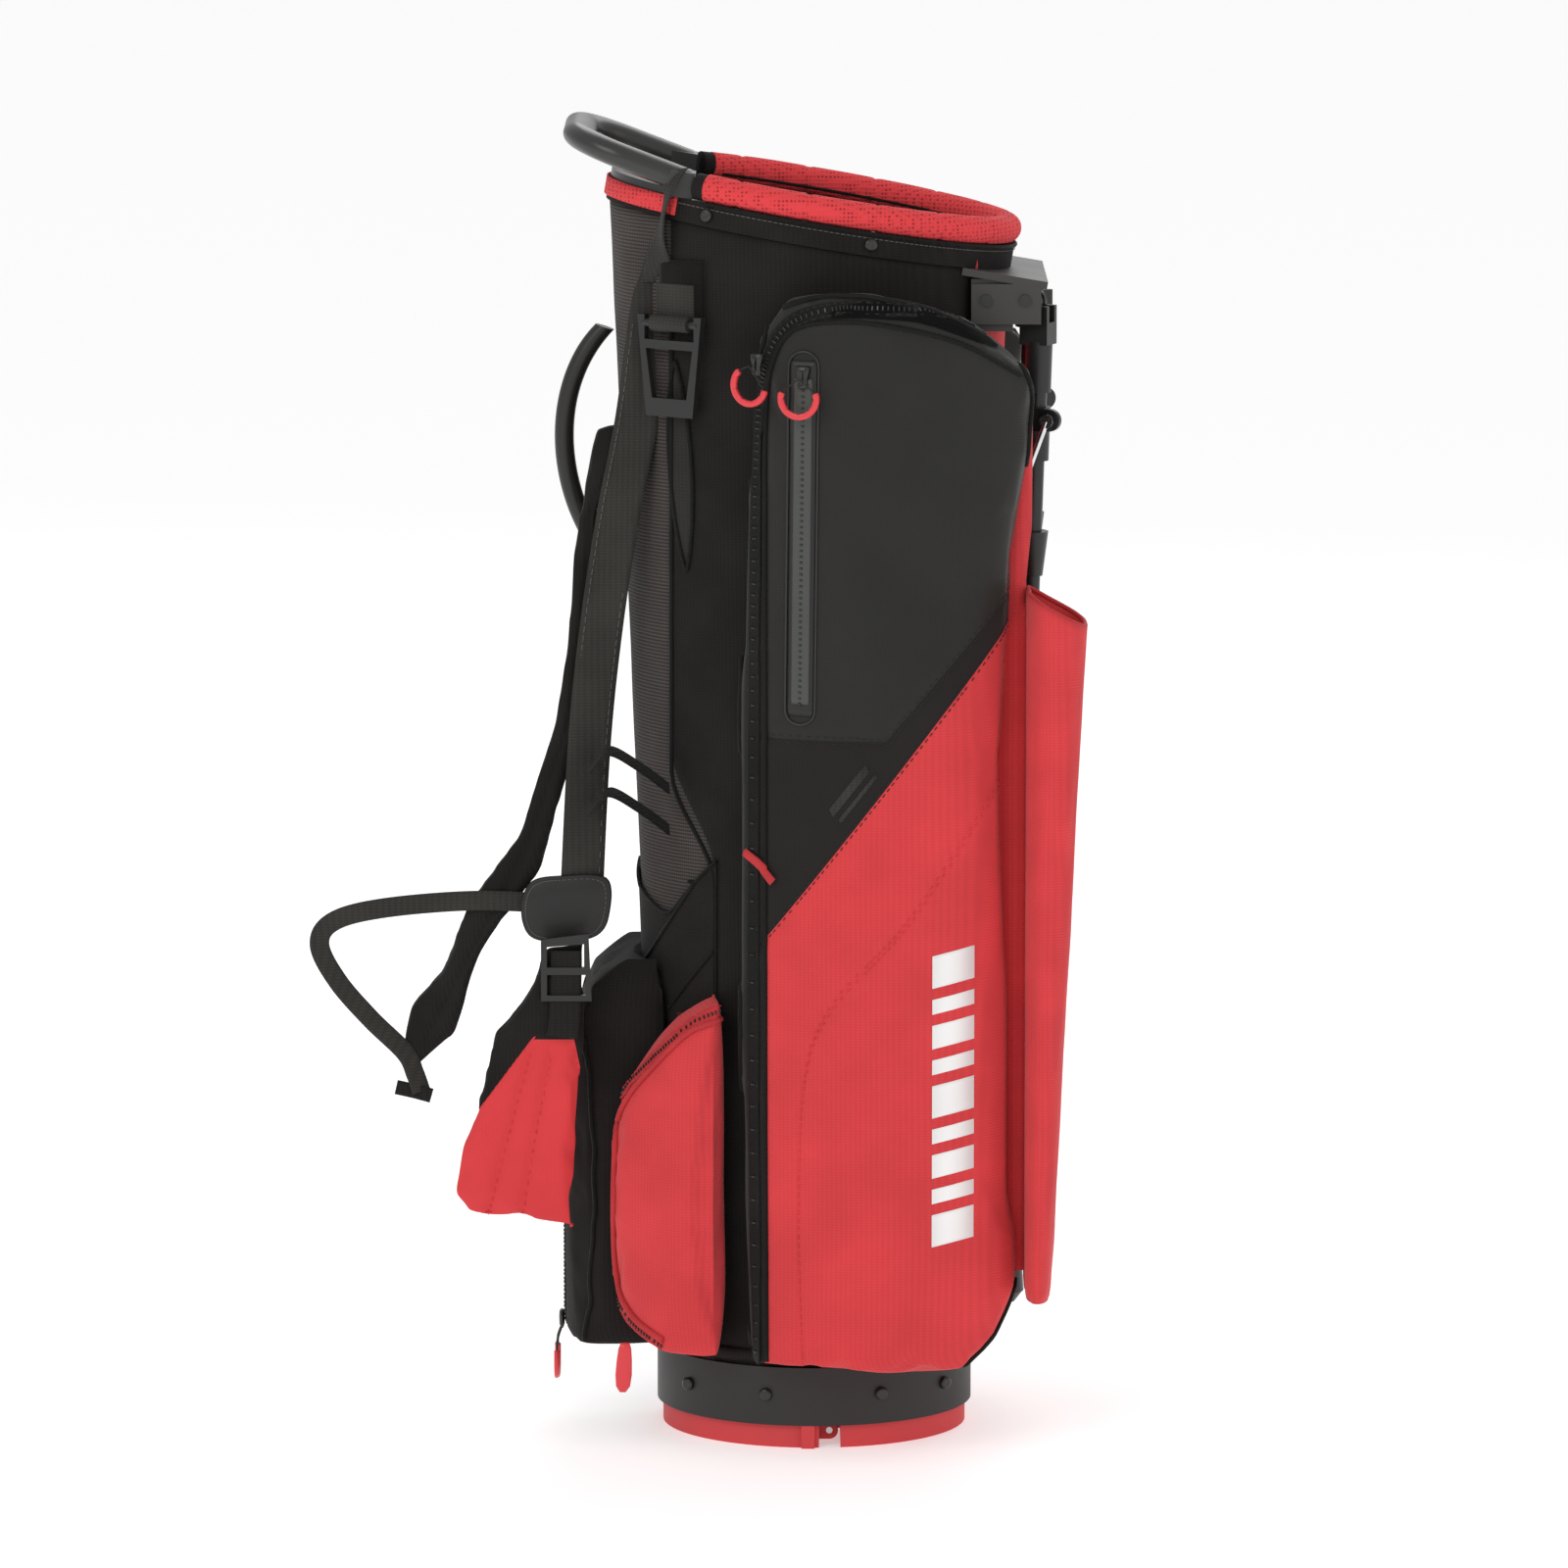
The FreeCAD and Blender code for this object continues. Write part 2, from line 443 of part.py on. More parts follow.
def build_housing():
    nose = box("housing_block", ("104", "pivot_x - 11.6"), ("-housing_out_y + 1.5", "housing_out_y - 1.5"),
               ("pivot_z - housing_nose", "pivot_z + 17"))
    cheeks = [box("cheek_" + side, ("104", "pivot_x + 7"), (low, high), ("pivot_z - 13", "pivot_z + 14"))
              for side, low, high in (("near", "-housing_out_y - 2", "-housing_out_y + 2"),
                                      ("far", "housing_out_y - 2", "housing_out_y + 2"))]
    flat = box("housing_plate_flat", ("104", "pivot_x + 18"), ("-housing_out_y - 2", "housing_out_y + 2"),
               ("-(collar_high + cuff_r + 2 * gap + plate_thick)", "-(collar_high + cuff_r + 2 * gap)"))
    plate = on_rim(group("housing_plate", flat))
    lugs, rooms = [], []
    for side in ("near", "far"):
        lug = fuse("lug_" + side + "_flat", across("lug_round_" + side, "lug_r", "-lug_thick / 2", "lug_thick / 2"),
                   box("lug_arm_" + side, ("-28", "0"), ("-lug_thick / 2", "lug_thick / 2"), ("-lug_r", "lug_r")))
        lug = cut("lug_" + side, lug, across("lug_bore_" + side, "leg_pin_r + 0.05", "-40", "40"))
        wide = "fin_thick + lug_thick / 2 + run_gap + 1.6"
        room = fuse("room_" + side, across("room_round_" + side, "fin_r + 1.5", "-(%s)" % wide, wide),
                    box("room_low_" + side, ("-11", "60"), ("-(%s)" % wide, wide), ("-90", "0")))
        turn, y = ("-splay", "-pivot_y") if side == "near" else ("splay", "pivot_y")
        for item in (lug, room):
            place(item, "pivot_x", y, "pivot_z", (0, 0, 1), turn)
        lugs.append(lug)
        rooms.append(room)
    solid = cut("housing_open", fuse("housing_solid", nose, plate, *cheeks), fuse("housing_rooms", *rooms))
    fitted = cut("housing_fitted", fuse("housing_lugged", solid, *lugs), tube_block("housing_seat", "gap"))
    node(fitted, "stand_housing")
    heads = []
    for k, (x, side) in enumerate(((114, -1), (140, -1), (114, 1), (140, 1))):
        y = "%d * (housing_out_y + 2)" % side if side > 0 else "-(housing_out_y + 2) - rivet_head"
        heads.append(rod("screw_%d" % k, "4", "rivet_head", x, y, "pivot_z + 3", (1, 0, 0), "-90"))
    node(fuse("screws", *heads), "housing_screws")


def build_near_leg():
    """The near leg's pieces about its pivot: x forward, y away from the outer side, z up."""
    half = "(lug_thick / 2 + run_gap)"
    out = "(lug_thick / 2 + run_gap + fin_thick)"
    pieces = {}
    fins = []
    for side, low, high in (("out", "-" + out, "-" + half), ("in", half, out)):
        fins.append(across("fin_round_" + side, "fin_r", low, high))
        fins.append(box("fin_web_" + side, ("-4", "fin_r + 7"), (low, high), ("-26", "-2")))
    block = box("clevis_block", ("-4", "fin_r + 7"), ("-" + out, out), ("-28", "-lug_r - 5"))
    socket = leaning(rod("socket", "leg_r + 2.6", "34"), along_leg("-60"), 0, "-60")
    tube_room = leaning(rod("tube_room", "leg_r + 0.1", "90"), along_leg("leg_top_z - 90"), 0, "leg_top_z - 90")
    bore = across("clevis_bore", "leg_pin_r + 0.05", "-40", "40")
    pieces["leg_clevis"] = cut("clevis", cut("clevis_socket", fuse("clevis_solid", *(fins + [block, socket])),
                                             tube_room), bore)
    pieces["leg_pivot_pin"] = group("pivot_pin_placed", across("pivot_pin", "leg_pin_r", "-%s - 1.5" % out,
                                                               "%s + 1.5" % out))
    low = "leg_top_z - leg_len"
    tube = cut("tube_hollow", leaning(rod("tube_out", "leg_r", "leg_len"), along_leg(low), 0, low),
               leaning(rod("tube_in", "leg_r - leg_wall", "leg_len + 20"), along_leg(low + " - 10"), 0, low + " - 10"))
    pieces["leg_tube"] = group("leg_tube_placed", tube)
    foot = fuse("clamp_solid", leaning(rod("clamp_body", "clamp_r", "clamp_len"),
                                       along_leg("clamp_z - clamp_len / 2"), 0, "clamp_z - clamp_len / 2"),
                across("ear_round", "ear_r", "-clamp_r", "-clamp_r + ear_thick", "ear_x", "ear_z"),
                box("ear_web", ("4", "ear_x"), ("-clamp_r", "-clamp_r + ear_thick"), ("ear_z - ear_r", "ear_z + ear_r")))
    gone = leaning(rod("clamp_room", "leg_r + 0.05", "120"), along_leg("clamp_z - 60"), 0, "clamp_z - 60")
    pieces["leg_clamp"] = cut("clamp", foot, gone)
    pieces["ear_rivet"] = group("ear_head_placed", across("ear_head", "3.4", "-clamp_r - 0.8", "-clamp_r",
                                                          "ear_x", "ear_z"))
    grip = leaning(cone("grip_out", "leg_r + 1.6", "leg_r + 4.4", "grip_len"), along_leg("grip_z"), 0, "grip_z")
    gone = leaning(rod("grip_room", "leg_r + 0.1", "120"), along_leg("grip_z - 20"), 0, "grip_z - 20")
    pieces["leg_sleeve"] = cut("grip", grip, gone)
    base = "%s - 10" % low
    boot = fuse("boot_solid", leaning(cone("boot_neck", "foot_r", "leg_r + 2.5", "foot_len"), along_leg(base), 0, base),
                leaning(cone("boot_tip", "foot_r - 6", "foot_r", "8.5"), along_leg(base + " - 8"), 0, base + " - 8"))
    gone = leaning(rod("boot_room", "leg_r + 0.1", "120"), along_leg(low), 0, low)
    pieces["leg_foot"] = cut("boot", boot, gone)
    for label, item in pieces.items():
        node(on_leg(item), label + "_near")
        node(mirrored(label + "_mirror", item), label + "_far")


def build_actuator():
    lean = "atan((rod_top_x - rod_foot_x) / (rod_top_z - sole_thick)) * 1"
    shaft = loft("rod_shaft", [oval("rod_low", "rod_r", "rod_r - 0.001", "rod_foot_x", 0, "sole_thick"),
                               oval("rod_high", "rod_r", "rod_r - 0.001", "rod_top_x", 0, "rod_top_z - 5.3")])
    node(shaft, "actuator_rod")
    hub = box("yoke_hub", ("rod_top_x - 4", "bar_x"), ("-bar_r", "bar_r"), ("rod_top_z - 5", "rod_top_z + 3"))
    reach = "pivot_y + 6"
    bar = rod("yoke_bar", "bar_r", "2 * (%s)" % reach, "bar_x", reach, "rod_top_z", (1, 0, 0), "90")
    ends = []
    for side in ("near", "far"):
        sign, turn = (1, "-splay") if side == "near" else (-1, "splay")
        knuckle = across("yoke_knuckle_" + side, "bar_r + 1.4",
                         "-bow_y + 2.6" if sign > 0 else "leg_r + 0.9",
                         "-leg_r - 0.9" if sign > 0 else "bow_y - 2.6", "bow_x", "bow_z")
        pin = across("yoke_pin_" + side, "2.2", "-bow_y - 3.2" if sign > 0 else "bow_y - 3",
                     "-bow_y + 3" if sign > 0 else "bow_y + 3.2", "bow_x", "bow_z")
        end = fuse("yoke_end_" + side, knuckle, pin)
        ends.append(place(end, "pivot_x", "%d * pivot_y" % -sign, "pivot_z", (0, 0, 1), turn))
    node(fuse("yoke_solid", hub, bar, *ends), "yoke")
    wire = place(rod("bow_wire", "bow_wire_r", "bow_len - 3.4"), "bow_x + 1.2", "-bow_y", "bow_z + 3", (0, 1, 0),
                 "bow_lean")
    eye = across("bow_eye", "eye_r", "-bow_y - 1.6", "-bow_y + 1.6", "bow_x", "bow_z")
    tip = across("bow_tip", "eye_r", "-bow_y - 1.6", "-bow_y + 1.6", "ear_x", "ear_z")
    bow = cut("bow", fuse("bow_solid", wire, eye, tip), across("bow_bore", "2.25", "-40", "40", "bow_x", "bow_z"))
    node(on_leg(bow), "bow_arm_near")
    node(mirrored("bow_mirror", bow), "bow_arm_far")


# ---------------------------------------------------------------- pockets
def pocket(name, block, side_points, plan_points, grow="gap"):
    """A pocket: an oval plan trimmed in side view and in plan, hollowed where the tube is."""
    side = prism(name + "_side", side_points, "-200", "200", side_view=True)
    plan = prism(name + "_plan", plan_points, "-10", "900")
    room = slab(name + "_housing_room", ("100", "400"), ("-housing_out_y - 2.5", "housing_out_y + 2.5"),
                ("pivot_z - housing_nose - 1", "900"))
    body = cut(name + "_trimmed", common(name + "_full", block, side, plan), tube_block(name + "_back", grow))
    return cut(name, body, room)


def side_profile():
    """The side pocket's edge in side view, round the top arc and down the curved front."""
    rear, front, low, top = "side_rear_x", "side_front_x", "side_low_z", "side_top_z"
    return [(rear + " + 9", low), (rear + " - 1", low + " + 230"), (rear, top + " - 270"),
            (rear + " + 6", top + " - 125"), (rear + " + 15", top + " - 30"), (rear + " + 36", top),
            (front + " - 96", top + " + 1"), (front + " - 42", top + " - 19"), (front + " + 6", top + " - 56"),
            (front + " + 4", top + " - 110"), (front + " - 6", top + " - 180"), (front + " - 12", top + " - 315"),
            (front + " - 6", low + " + 250"), (front + " - 5", low + " + 120"), (front, low + " + 90"),
            (front + " - 2", low + " + 55"), (front + " - 18", low + " + 20"), (front + " - 42", low)]


def two_panels(whole, label):
    """A side pocket as its lower part and its top part, which meet at the narrowest height."""
    for end, low, high in (("", "side_low_z - 20", "side_split_z"), ("_top", "side_split_z", "side_top_z + 60")):
        span = prism(label + end + "_span", [("-120", low), ("220", low), ("220", high), ("-120", high)],
                     "-200", "200", side_view=True)
        node(common(label + end + "_cut", whole, span), label + end)


def build_pockets():
    plan = [("side_rear_x - 4", "-40"), ("side_rear_x - 4", "-190"), ("side_front_x + 8", "-190"),
            ("side_front_x + 8", "-88"), ("side_front_x - 28", "-66"), ("side_front_x - 60", "-40")]
    block = oval_block("side_block", "side_a", "side_b", "20", "860", "side_cx", "-side_cy")
    two_panels(pocket("near_bag", block, side_profile(), plan), "near_pocket")
    far_plan = [(x, y[1:] if y.startswith("-") else y) for x, y in plan]
    block = oval_block("far_block", "side_a", "far_b", "20", "860", "side_cx", "side_cy")
    two_panels(pocket("far_bag", block, side_profile(), far_plan), "far_pocket")
    side = [("-59", "ball_low_z"), ("-59", "ball_top_z"), ("-76", "ball_top_z - 7"), ("-108", "ball_top_z - 34"),
            ("-136", "ball_top_z - 72"), ("-146", "ball_top_z - 110"), ("-146", "ball_low_z + 50"),
            ("-134", "ball_low_z + 16"), ("-104", "ball_low_z")]
    plan = [("side_rear_x - 4 - gap", "-spine_half_y - gap"), ("side_rear_x - 4 - gap", "-190"),
            ("-190", "-190"), ("-190", "-spine_half_y - gap")]
    block = oval_block("ball_block", "ball_a", "ball_b", "20", "400", "ball_cx", 0)
    node(pocket("ball_bag", block, side, plan), "ball_pocket")
    side = [("-90", "spine_low_z"), ("-167", "spine_low_z"), ("-170", "spine_low_z + 3"),
            ("-170", "spine_top_z - 70"), ("-150", "spine_top_z - 20"), ("-126", "spine_top_z"), ("-90", "spine_top_z")]
    plan = [("-60", "-spine_half_y"), ("-190", "-spine_half_y"), ("-190", "spine_half_y"), ("-60", "spine_half_y")]
    block = oval_block("spine_block", "spine_a", "spine_b", "20", "400")
    node(pocket("spine_bag", block, side, plan), "spine_pocket")
    build_sleeve()


def sleeve_plan(inset):
    back, out = "sleeve_back_x + %s" % inset, "sleeve_out_x - %s" % inset
    near, far = "-sleeve_near_y + %s" % inset, "-sleeve_far_y - %s" % inset
    return [(back, near + " + 22"), (back + " + 10", near), (out + " - 12", near + " + 2"), (out + " - 2", near + " + 14"),
            (out, far + " - 16"), (out + " - 9", far), (back, far)]


def build_sleeve():
    """The open sleeve: a thin pouch with a slanted mouth."""
    outer = prism("sleeve_outer", sleeve_plan("0"), "sleeve_low_z", "sleeve_rim_z + 30")
    inner = prism("sleeve_inner", sleeve_plan("sleeve_wall"), "sleeve_low_z + sleeve_wall", "sleeve_rim_z + 60")
    shell = cut("sleeve_shell", outer, inner)
    keep = prism("sleeve_mouth", [("100", "60"), ("220", "60"), ("220", "sleeve_rim_z - sleeve_slant - 20"),
                                  ("sleeve_back_x", "sleeve_rim_z"), ("100", "sleeve_rim_z + 8")],
                 "-200", "200", side_view=True)
    node(common("sleeve_cut", shell, keep), "umbrella_sleeve")


# ---------------------------------------------------------------- zips
def near_face(x):
    """The near pocket's outer face at x."""
    return "-(side_cy) - side_b * sqrt(1 - (((%s) - side_cx) / side_a)^2)" % x


def pull(name, x, yaw, z):
    """A slider and its ring on the near pocket: made facing -Y at the face, then turned and set."""
    body = box(name + "_body", ("-slider_wide / 2", "slider_wide / 2"), ("-zip_lift - slider_thick", "-zip_lift"),
               ("-slider_long / 2", "slider_long / 2"))
    bail = box(name + "_bail", ("-2", "2"), ("-zip_lift - slider_thick - 2.6", "-zip_lift - slider_thick"),
               ("-1.4", "1.4"))
    ring = bind(new("Part::Torus", name + "_hoop"), Radius1="ring_r", Radius2="ring_wire_r")
    place(ring, 0, "-zip_lift - slider_thick - 2.6 - ring_wire_r - gap", "-ring_r", (1, 0, 0), "90")
    for item, label in ((fuse(name + "_slider_solid", body, bail), name + "_slider"),
                        (group(name + "_ring_solid", ring), name + "_ring")):
        node(place(item, x, near_face(x), z, (0, 0, 1), "-(%s)" % yaw), label)


def build_zips():
    pull("apparel", "apparel_x", "apparel_yaw", "apparel_z")
    pull("valuables", "valuables_x", "valuables_yaw", "valuables_z")
    body = box("spine_zip_body", ("-zip_lift - slider_thick", "-zip_lift"), ("-slider_wide / 2", "slider_wide / 2"),
               ("-slider_long / 2", "slider_long / 2"))
    loop = bind(new("Part::Torus", "spine_zip_loop"), Radius1="ring_r + 3", Radius2="ring_wire_r")
    place(loop, "-zip_lift - slider_thick / 2", 0, "-slider_long / 2 - ring_r - 2.5", (0, 1, 0), "90")
    node(place(fuse("spine_zip", body, loop), "-170", 0, "spine_low_z + 10"), "spine_slider")


# ---------------------------------------------------------------- carrying parts
def face_x(z):
    """The spine wall's x at a height z."""
    return "-(base_a + (rim_a - base_a + 2.3) * ((%s) - body_low_z) / (rim_mid_z - body_low_z - 2))" % z


def flat_piece(name, points, near, far):
    """A flat hanging piece: a side-view outline between two y values, kept clear of tube and rim."""
    solid = prism(name, points, near, far, side_view=True)
    rim = on_rim(oval_block(name + "_rim", "frame_out_a + band_thick + 2 * gap",
                            "frame_out_a - cuff_a + cuff_b + band_thick + 2 * gap", "-30", "-cuff_r"))
    return cut(name + "_clear", cut(name + "_off_tube", solid, tube_block(name + "_tube", "gap")), rim)


def build_grab():
    """A rubber tube bowed out of the spine."""
    x0 = face_x("grab_top_z") + " - grab_r - gap"
    x1 = face_x("grab_low_z") + " - grab_r - gap"
    mid = "(grab_top_z + grab_low_z) / 2"
    rings = [oval("grab_%d" % k, "grab_r", "grab_r - 0.01", x, 0, z, (0, 1, 0), turn)
             for k, (x, z, turn) in enumerate((
                 (x1, "grab_low_z", "-18"), (x1 + " - grab_out * 0.75", "grab_low_z + 36", "-24"),
                 ("(%s + %s) / 2 - grab_out" % (x0, x1), mid, "0"),
                 (x0 + " - grab_out * 0.7", "grab_top_z - 36", "24"), (x0, "grab_top_z", "18")))]
    node(loft("grab", rings, ruled=False), "grab_handle")



def build_straps():
    """Webbing, hub and shoulder pads: flat layers, one in front of the other, from y = strap_y out."""
    layer = ["-strap_y", "-strap_y - web_thick", "-strap_y - web_thick - hub_thick",
             "-strap_y - web_thick - hub_thick - pad_thick"]
    half = "web_half"
    path = [("-92", "844"), ("-109", "778"), ("-119", "698"), ("-132", "631"), ("-144", "551"), ("-152", "471"),
            ("-158", "hub_z - 12")]
    points = [("%s - %s" % (x, half), z) for x, z in path] + [("%s + %s" % (x, half), z) for x, z in reversed(path)]
    node(flat_piece("web", points, layer[1] + " - gap", layer[0] + " - gap"), "spine_webbing")
    hub = [("-197", "hub_z + 8"), ("-190", "hub_z + 20"), ("-172", "hub_z + 24"), ("-140", "hub_z + 22"),
           ("-138", "hub_z - 4"), ("-148", "hub_z - 18"), ("-172", "hub_z - 22"), ("-190", "hub_z - 19"),
           ("-197", "hub_z - 8")]
    node(prism("hub", hub, layer[2] + " - 2 * gap", layer[1] + " - 2 * gap", side_view=True), "hub_patch")
    loop = [("-176", "hub_z + 12"), ("-320", "hub_z + 5"), ("-338", "hub_z - 9"), ("-344", "hub_z - 29"),
            ("-322", "hub_z - 65"), ("-282", "hub_z - 101"), ("-282", "hub_z - 129"), ("-259", "hub_z - 131"),
            ("-256", "hub_z - 111"), ("-268", "hub_z - 103"), ("-286", "hub_z - 83"), ("-326", "hub_z - 22"),
            ("-176", "hub_z - 13")]
    node(prism("loop", loop, layer[1] + " - gap", layer[0] + " - gap", side_view=True), "webbing_loop")
    rear = [("-104", "704"), ("-150", "694"), ("-164", "611"), ("-170", "544"), ("-180", "490"), ("-206", "417"),
            ("-239", "hub_z + 5"), ("-259", "hub_z - 42"), ("-278", "hub_z - 68"), ("-283", "hub_z - 102"),
            ("-272", "hub_z - 117"), ("-239", "hub_z - 89"), ("-219", "hub_z - 35"), ("-180", "390"),
            ("-158", "470"), ("-146", "544"), ("-140", "640"), ("-104", "664")]
    node(flat_piece("pad", rear, layer[0], "-strap_y + pad_thick"), "rear_shoulder_pad")
    front = [("-186", "hub_z - 19"), ("-203", "hub_z - 51"), ("-223", "hub_z - 78"), ("-234", "hub_z - 118"),
             ("-245", "hub_z - 161"), ("-249", "hub_z - 195"), ("-236", "hub_z - 211"), ("-162", "hub_z - 221"),
             ("-154", "hub_z - 178"), ("-151", "hub_z - 138"), ("-146", "hub_z - 91"), ("-148", "hub_z - 51"),
             ("-152", "hub_z - 13")]
    node(prism("front_pad", front, layer[3] + " - 3 * gap", layer[2] + " - 3 * gap", side_view=True),
         "front_shoulder_pad")
    face = layer[3] + " - 4 * gap"
    frame = prism("buckle_out", [("-184", "hub_z - 58"), ("-184", "hub_z - 16"), ("-152", "hub_z - 12"),
                                 ("-150", "hub_z - 58")], face + " - 4", face, side_view=True)
    gaps = fuse("buckle_gaps", prism("buckle_gap_low", [
        ("-180", "hub_z - 54"), ("-180", "hub_z - 40"), ("-154", "hub_z - 40"), ("-154", "hub_z - 54")],
        "-200", "0", side_view=True), prism("buckle_gap_high", [
            ("-180", "hub_z - 35"), ("-180", "hub_z - 21"), ("-155", "hub_z - 19"), ("-155", "hub_z - 35")],
        "-200", "0", side_view=True))
    node(cut("buckle", frame, gaps), "pad_buckle")


def build_hook():
    """The utility hook: a trapezoid frame on a webbing loop, made at the wall and turned to face out."""
    wide, high, deep = "hook_wide / 2", "hook_high", "hook_thick"
    front, back = "-bar_off - hook_thick / 2", "-bar_off + hook_thick / 2"
    plate = prism("hook_plate", [("-%s" % wide, "bar_off - 1.2"), (wide, "bar_off - 1.2"), (wide + " - 7", "-" + high),
                                 ("-%s + 7" % wide, "-" + high)], front, back, side_view=True)
    gap = prism("hook_gap", [("-%s + 6" % wide, "-10"), (wide + " - 6", "-10"), (wide + " - 12", "12 - " + high),
                             ("-%s + 12" % wide, "12 - " + high)], "-40", "10", side_view=True)
    neck = box("hook_neck", ("-%s + 6" % wide, wide + " - 6"), ("-40", "10"), ("-12", "30"))
    bar = rod("hook_bar", "3", "hook_wide - 8", "4 - " + wide, "-bar_off", "0", (0, 1, 0), "90")
    low = box("hook_cross", ("-%s + 3" % wide, wide + " - 3"), (front, back), ("-17", "-11"))
    frame = fuse("hook_frame", cut("hook_open", plate, fuse("hook_holes", gap, neck)), bar, low)
    ring_out = rod("hook_ring_out", "5.2", "30", "-15", "-bar_off", "0", (0, 1, 0), "90")
    ring_in = rod("hook_ring_in", "3.1", "60", "-30", "-bar_off", "0", (0, 1, 0), "90")
    tab = box("hook_tab", ("-15", "15"), ("-2.2", "-0.4"), ("0", "26"))
    loop = cut("hook_loop", fuse("hook_loop_solid", ring_out, tab), ring_in)
    y = "-rim_b * 0.995 * sqrt(1 - ((hook_x + 4) / (rim_a * 0.975))^2)"
    for item, label in ((frame, "utility_hook"), (loop, "hook_webbing")):
        node(place(item, "hook_x", y, "hook_z", (0, 0, 1), "-hook_yaw"), label)



build_tube()
build_base()
build_rim()
build_handle()
build_housing()
build_near_leg()
build_actuator()
build_pockets()
build_zips()
build_grab()
build_straps()
build_hook()


def write_parts():
    document.recompute()
    bad = [item.Name for item in document.Objects if "Invalid" in item.State or "Error" in item.State]
    if bad:
        raise RuntimeError("objects with errors: %s" % ", ".join(bad))
    os.makedirs("parts", exist_ok=True)
    for item in NODES:
        if item.Shape.isNull() or not item.Shape.isValid() or item.Shape.Volume <= 0:
            raise RuntimeError("bad shape: %s" % item.Label)
        item.Shape.exportStep("parts/%s.step" % item.Label)
        room = item.Shape.BoundBox
        print("%-22s x %7.1f %7.1f  y %7.1f %7.1f  z %7.1f %7.1f  solids %d  volume %.0f" % (
            item.Label, room.XMin, room.XMax, room.YMin, room.YMax, room.ZMin, room.ZMax,
            len(item.Shape.Solids), item.Shape.Volume))


write_parts()
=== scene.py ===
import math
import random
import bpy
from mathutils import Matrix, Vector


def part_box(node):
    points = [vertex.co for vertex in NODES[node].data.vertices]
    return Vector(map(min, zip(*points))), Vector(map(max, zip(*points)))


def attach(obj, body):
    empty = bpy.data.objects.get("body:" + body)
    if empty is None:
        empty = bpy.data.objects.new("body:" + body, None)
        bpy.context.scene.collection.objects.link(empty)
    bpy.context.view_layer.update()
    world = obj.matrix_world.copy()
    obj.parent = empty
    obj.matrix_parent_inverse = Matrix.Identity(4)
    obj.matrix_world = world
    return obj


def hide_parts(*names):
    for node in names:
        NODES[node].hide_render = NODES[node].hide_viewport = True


bl_info = {
    "name": "Golf Stand Bag",
    "version": (1, 0, 0),
    "blender": (4, 5, 0),
    "location": "View3D > Sidebar > Stand Bag",
    "description": "Builds the soft goods, trims and finishes of a golf stand bag on its frame",
    "category": "Add Mesh",
}

import bmesh
import bpy
from mathutils import Matrix, Vector, noise
from mathutils.bvhtree import BVHTree

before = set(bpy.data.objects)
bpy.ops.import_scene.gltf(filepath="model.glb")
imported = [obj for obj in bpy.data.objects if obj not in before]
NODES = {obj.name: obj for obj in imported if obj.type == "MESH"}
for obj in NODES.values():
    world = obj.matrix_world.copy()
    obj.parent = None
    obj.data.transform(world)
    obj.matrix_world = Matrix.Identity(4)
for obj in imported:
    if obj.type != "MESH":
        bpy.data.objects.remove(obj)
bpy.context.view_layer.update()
MM = 0.001
WAVE_PERIOD = 0.31416  # a wave texture at scale 1 repeats after this length
TUBE_LOW = 0.048  # where the cloth tube starts, above the floor
TUBE_RISE = 0.77  # its mean height
RIM_DROP = 0.025  # from the middle of the cuff down to the tube's top
FRONT_EDGE = 0.60  # the angle round the tube at which the red front cloth starts
NEAR, FAR, SPINE = (0, 1, 0), (0, -1, 0), (1, 0, 0)  # ways to look at the bag's sides
UP = Vector((0, 0, 1))
STITCH = (0.0028, 0.0007, 0.0004)  # length, width, height


# ------------------------------------------------------------------ sizes
class BagSizes(bpy.types.PropertyGroup):
    """Sizes and colours that a user would change."""
    foot_a: bpy.props.FloatProperty(name="Tube foot half length", description="Front to back at the base cup",
                                    default=0.1039, unit="LENGTH")
    foot_b: bpy.props.FloatProperty(name="Tube foot half width", description="Side to side at the base cup",
                                    default=0.0919, unit="LENGTH")
    rim_a: bpy.props.FloatProperty(name="Rim half length", description="Front to back under the collar",
                                   default=0.136, unit="LENGTH")
    rim_b: bpy.props.FloatProperty(name="Rim half width", description="Side to side under the collar",
                                   default=0.103, unit="LENGTH")
    rim_z: bpy.props.FloatProperty(name="Rim height", description="Middle of the cuff roll above the floor",
                                   default=0.842, unit="LENGTH")
    tilt: bpy.props.FloatProperty(name="Rim tilt", description="How far the rim drops towards the front",
                                  default=math.radians(9.65), subtype="ANGLE")
    red: bpy.props.FloatVectorProperty(name="Red", description="Cloth red", size=3, subtype="COLOR",
                                       default=(0.66, 0.052, 0.058))
    black: bpy.props.FloatVectorProperty(name="Black", description="Cloth black", size=3, subtype="COLOR",
                                         default=(0.017, 0.0145, 0.0138))


def sizes():
    return bpy.context.scene.stand_bag


# ------------------------------------------------------------------ materials
MATERIALS = {}


def shader(name, color, rough=0.6, metal=0.0, sheen=0.0, coat=0.0, specular=0.5):
    """A new material with its constant values on the shader's own sockets."""
    mat = bpy.data.materials.new(name)
    mat.use_nodes = True
    tree = mat.node_tree
    bsdf = tree.nodes["Principled BSDF"]
    bsdf.inputs["Base Color"].default_value = (*color, 1)
    bsdf.inputs["Roughness"].default_value = rough
    bsdf.inputs["Metallic"].default_value = metal
    bsdf.inputs["Sheen Weight"].default_value = sheen
    bsdf.inputs["Sheen Roughness"].default_value = 0.5
    bsdf.inputs["Coat Weight"].default_value = coat
    bsdf.inputs["Specular IOR Level"].default_value = specular
    MATERIALS[name] = mat
    return mat, tree, bsdf


def link(tree, source, target):
    tree.links.new(source, target)


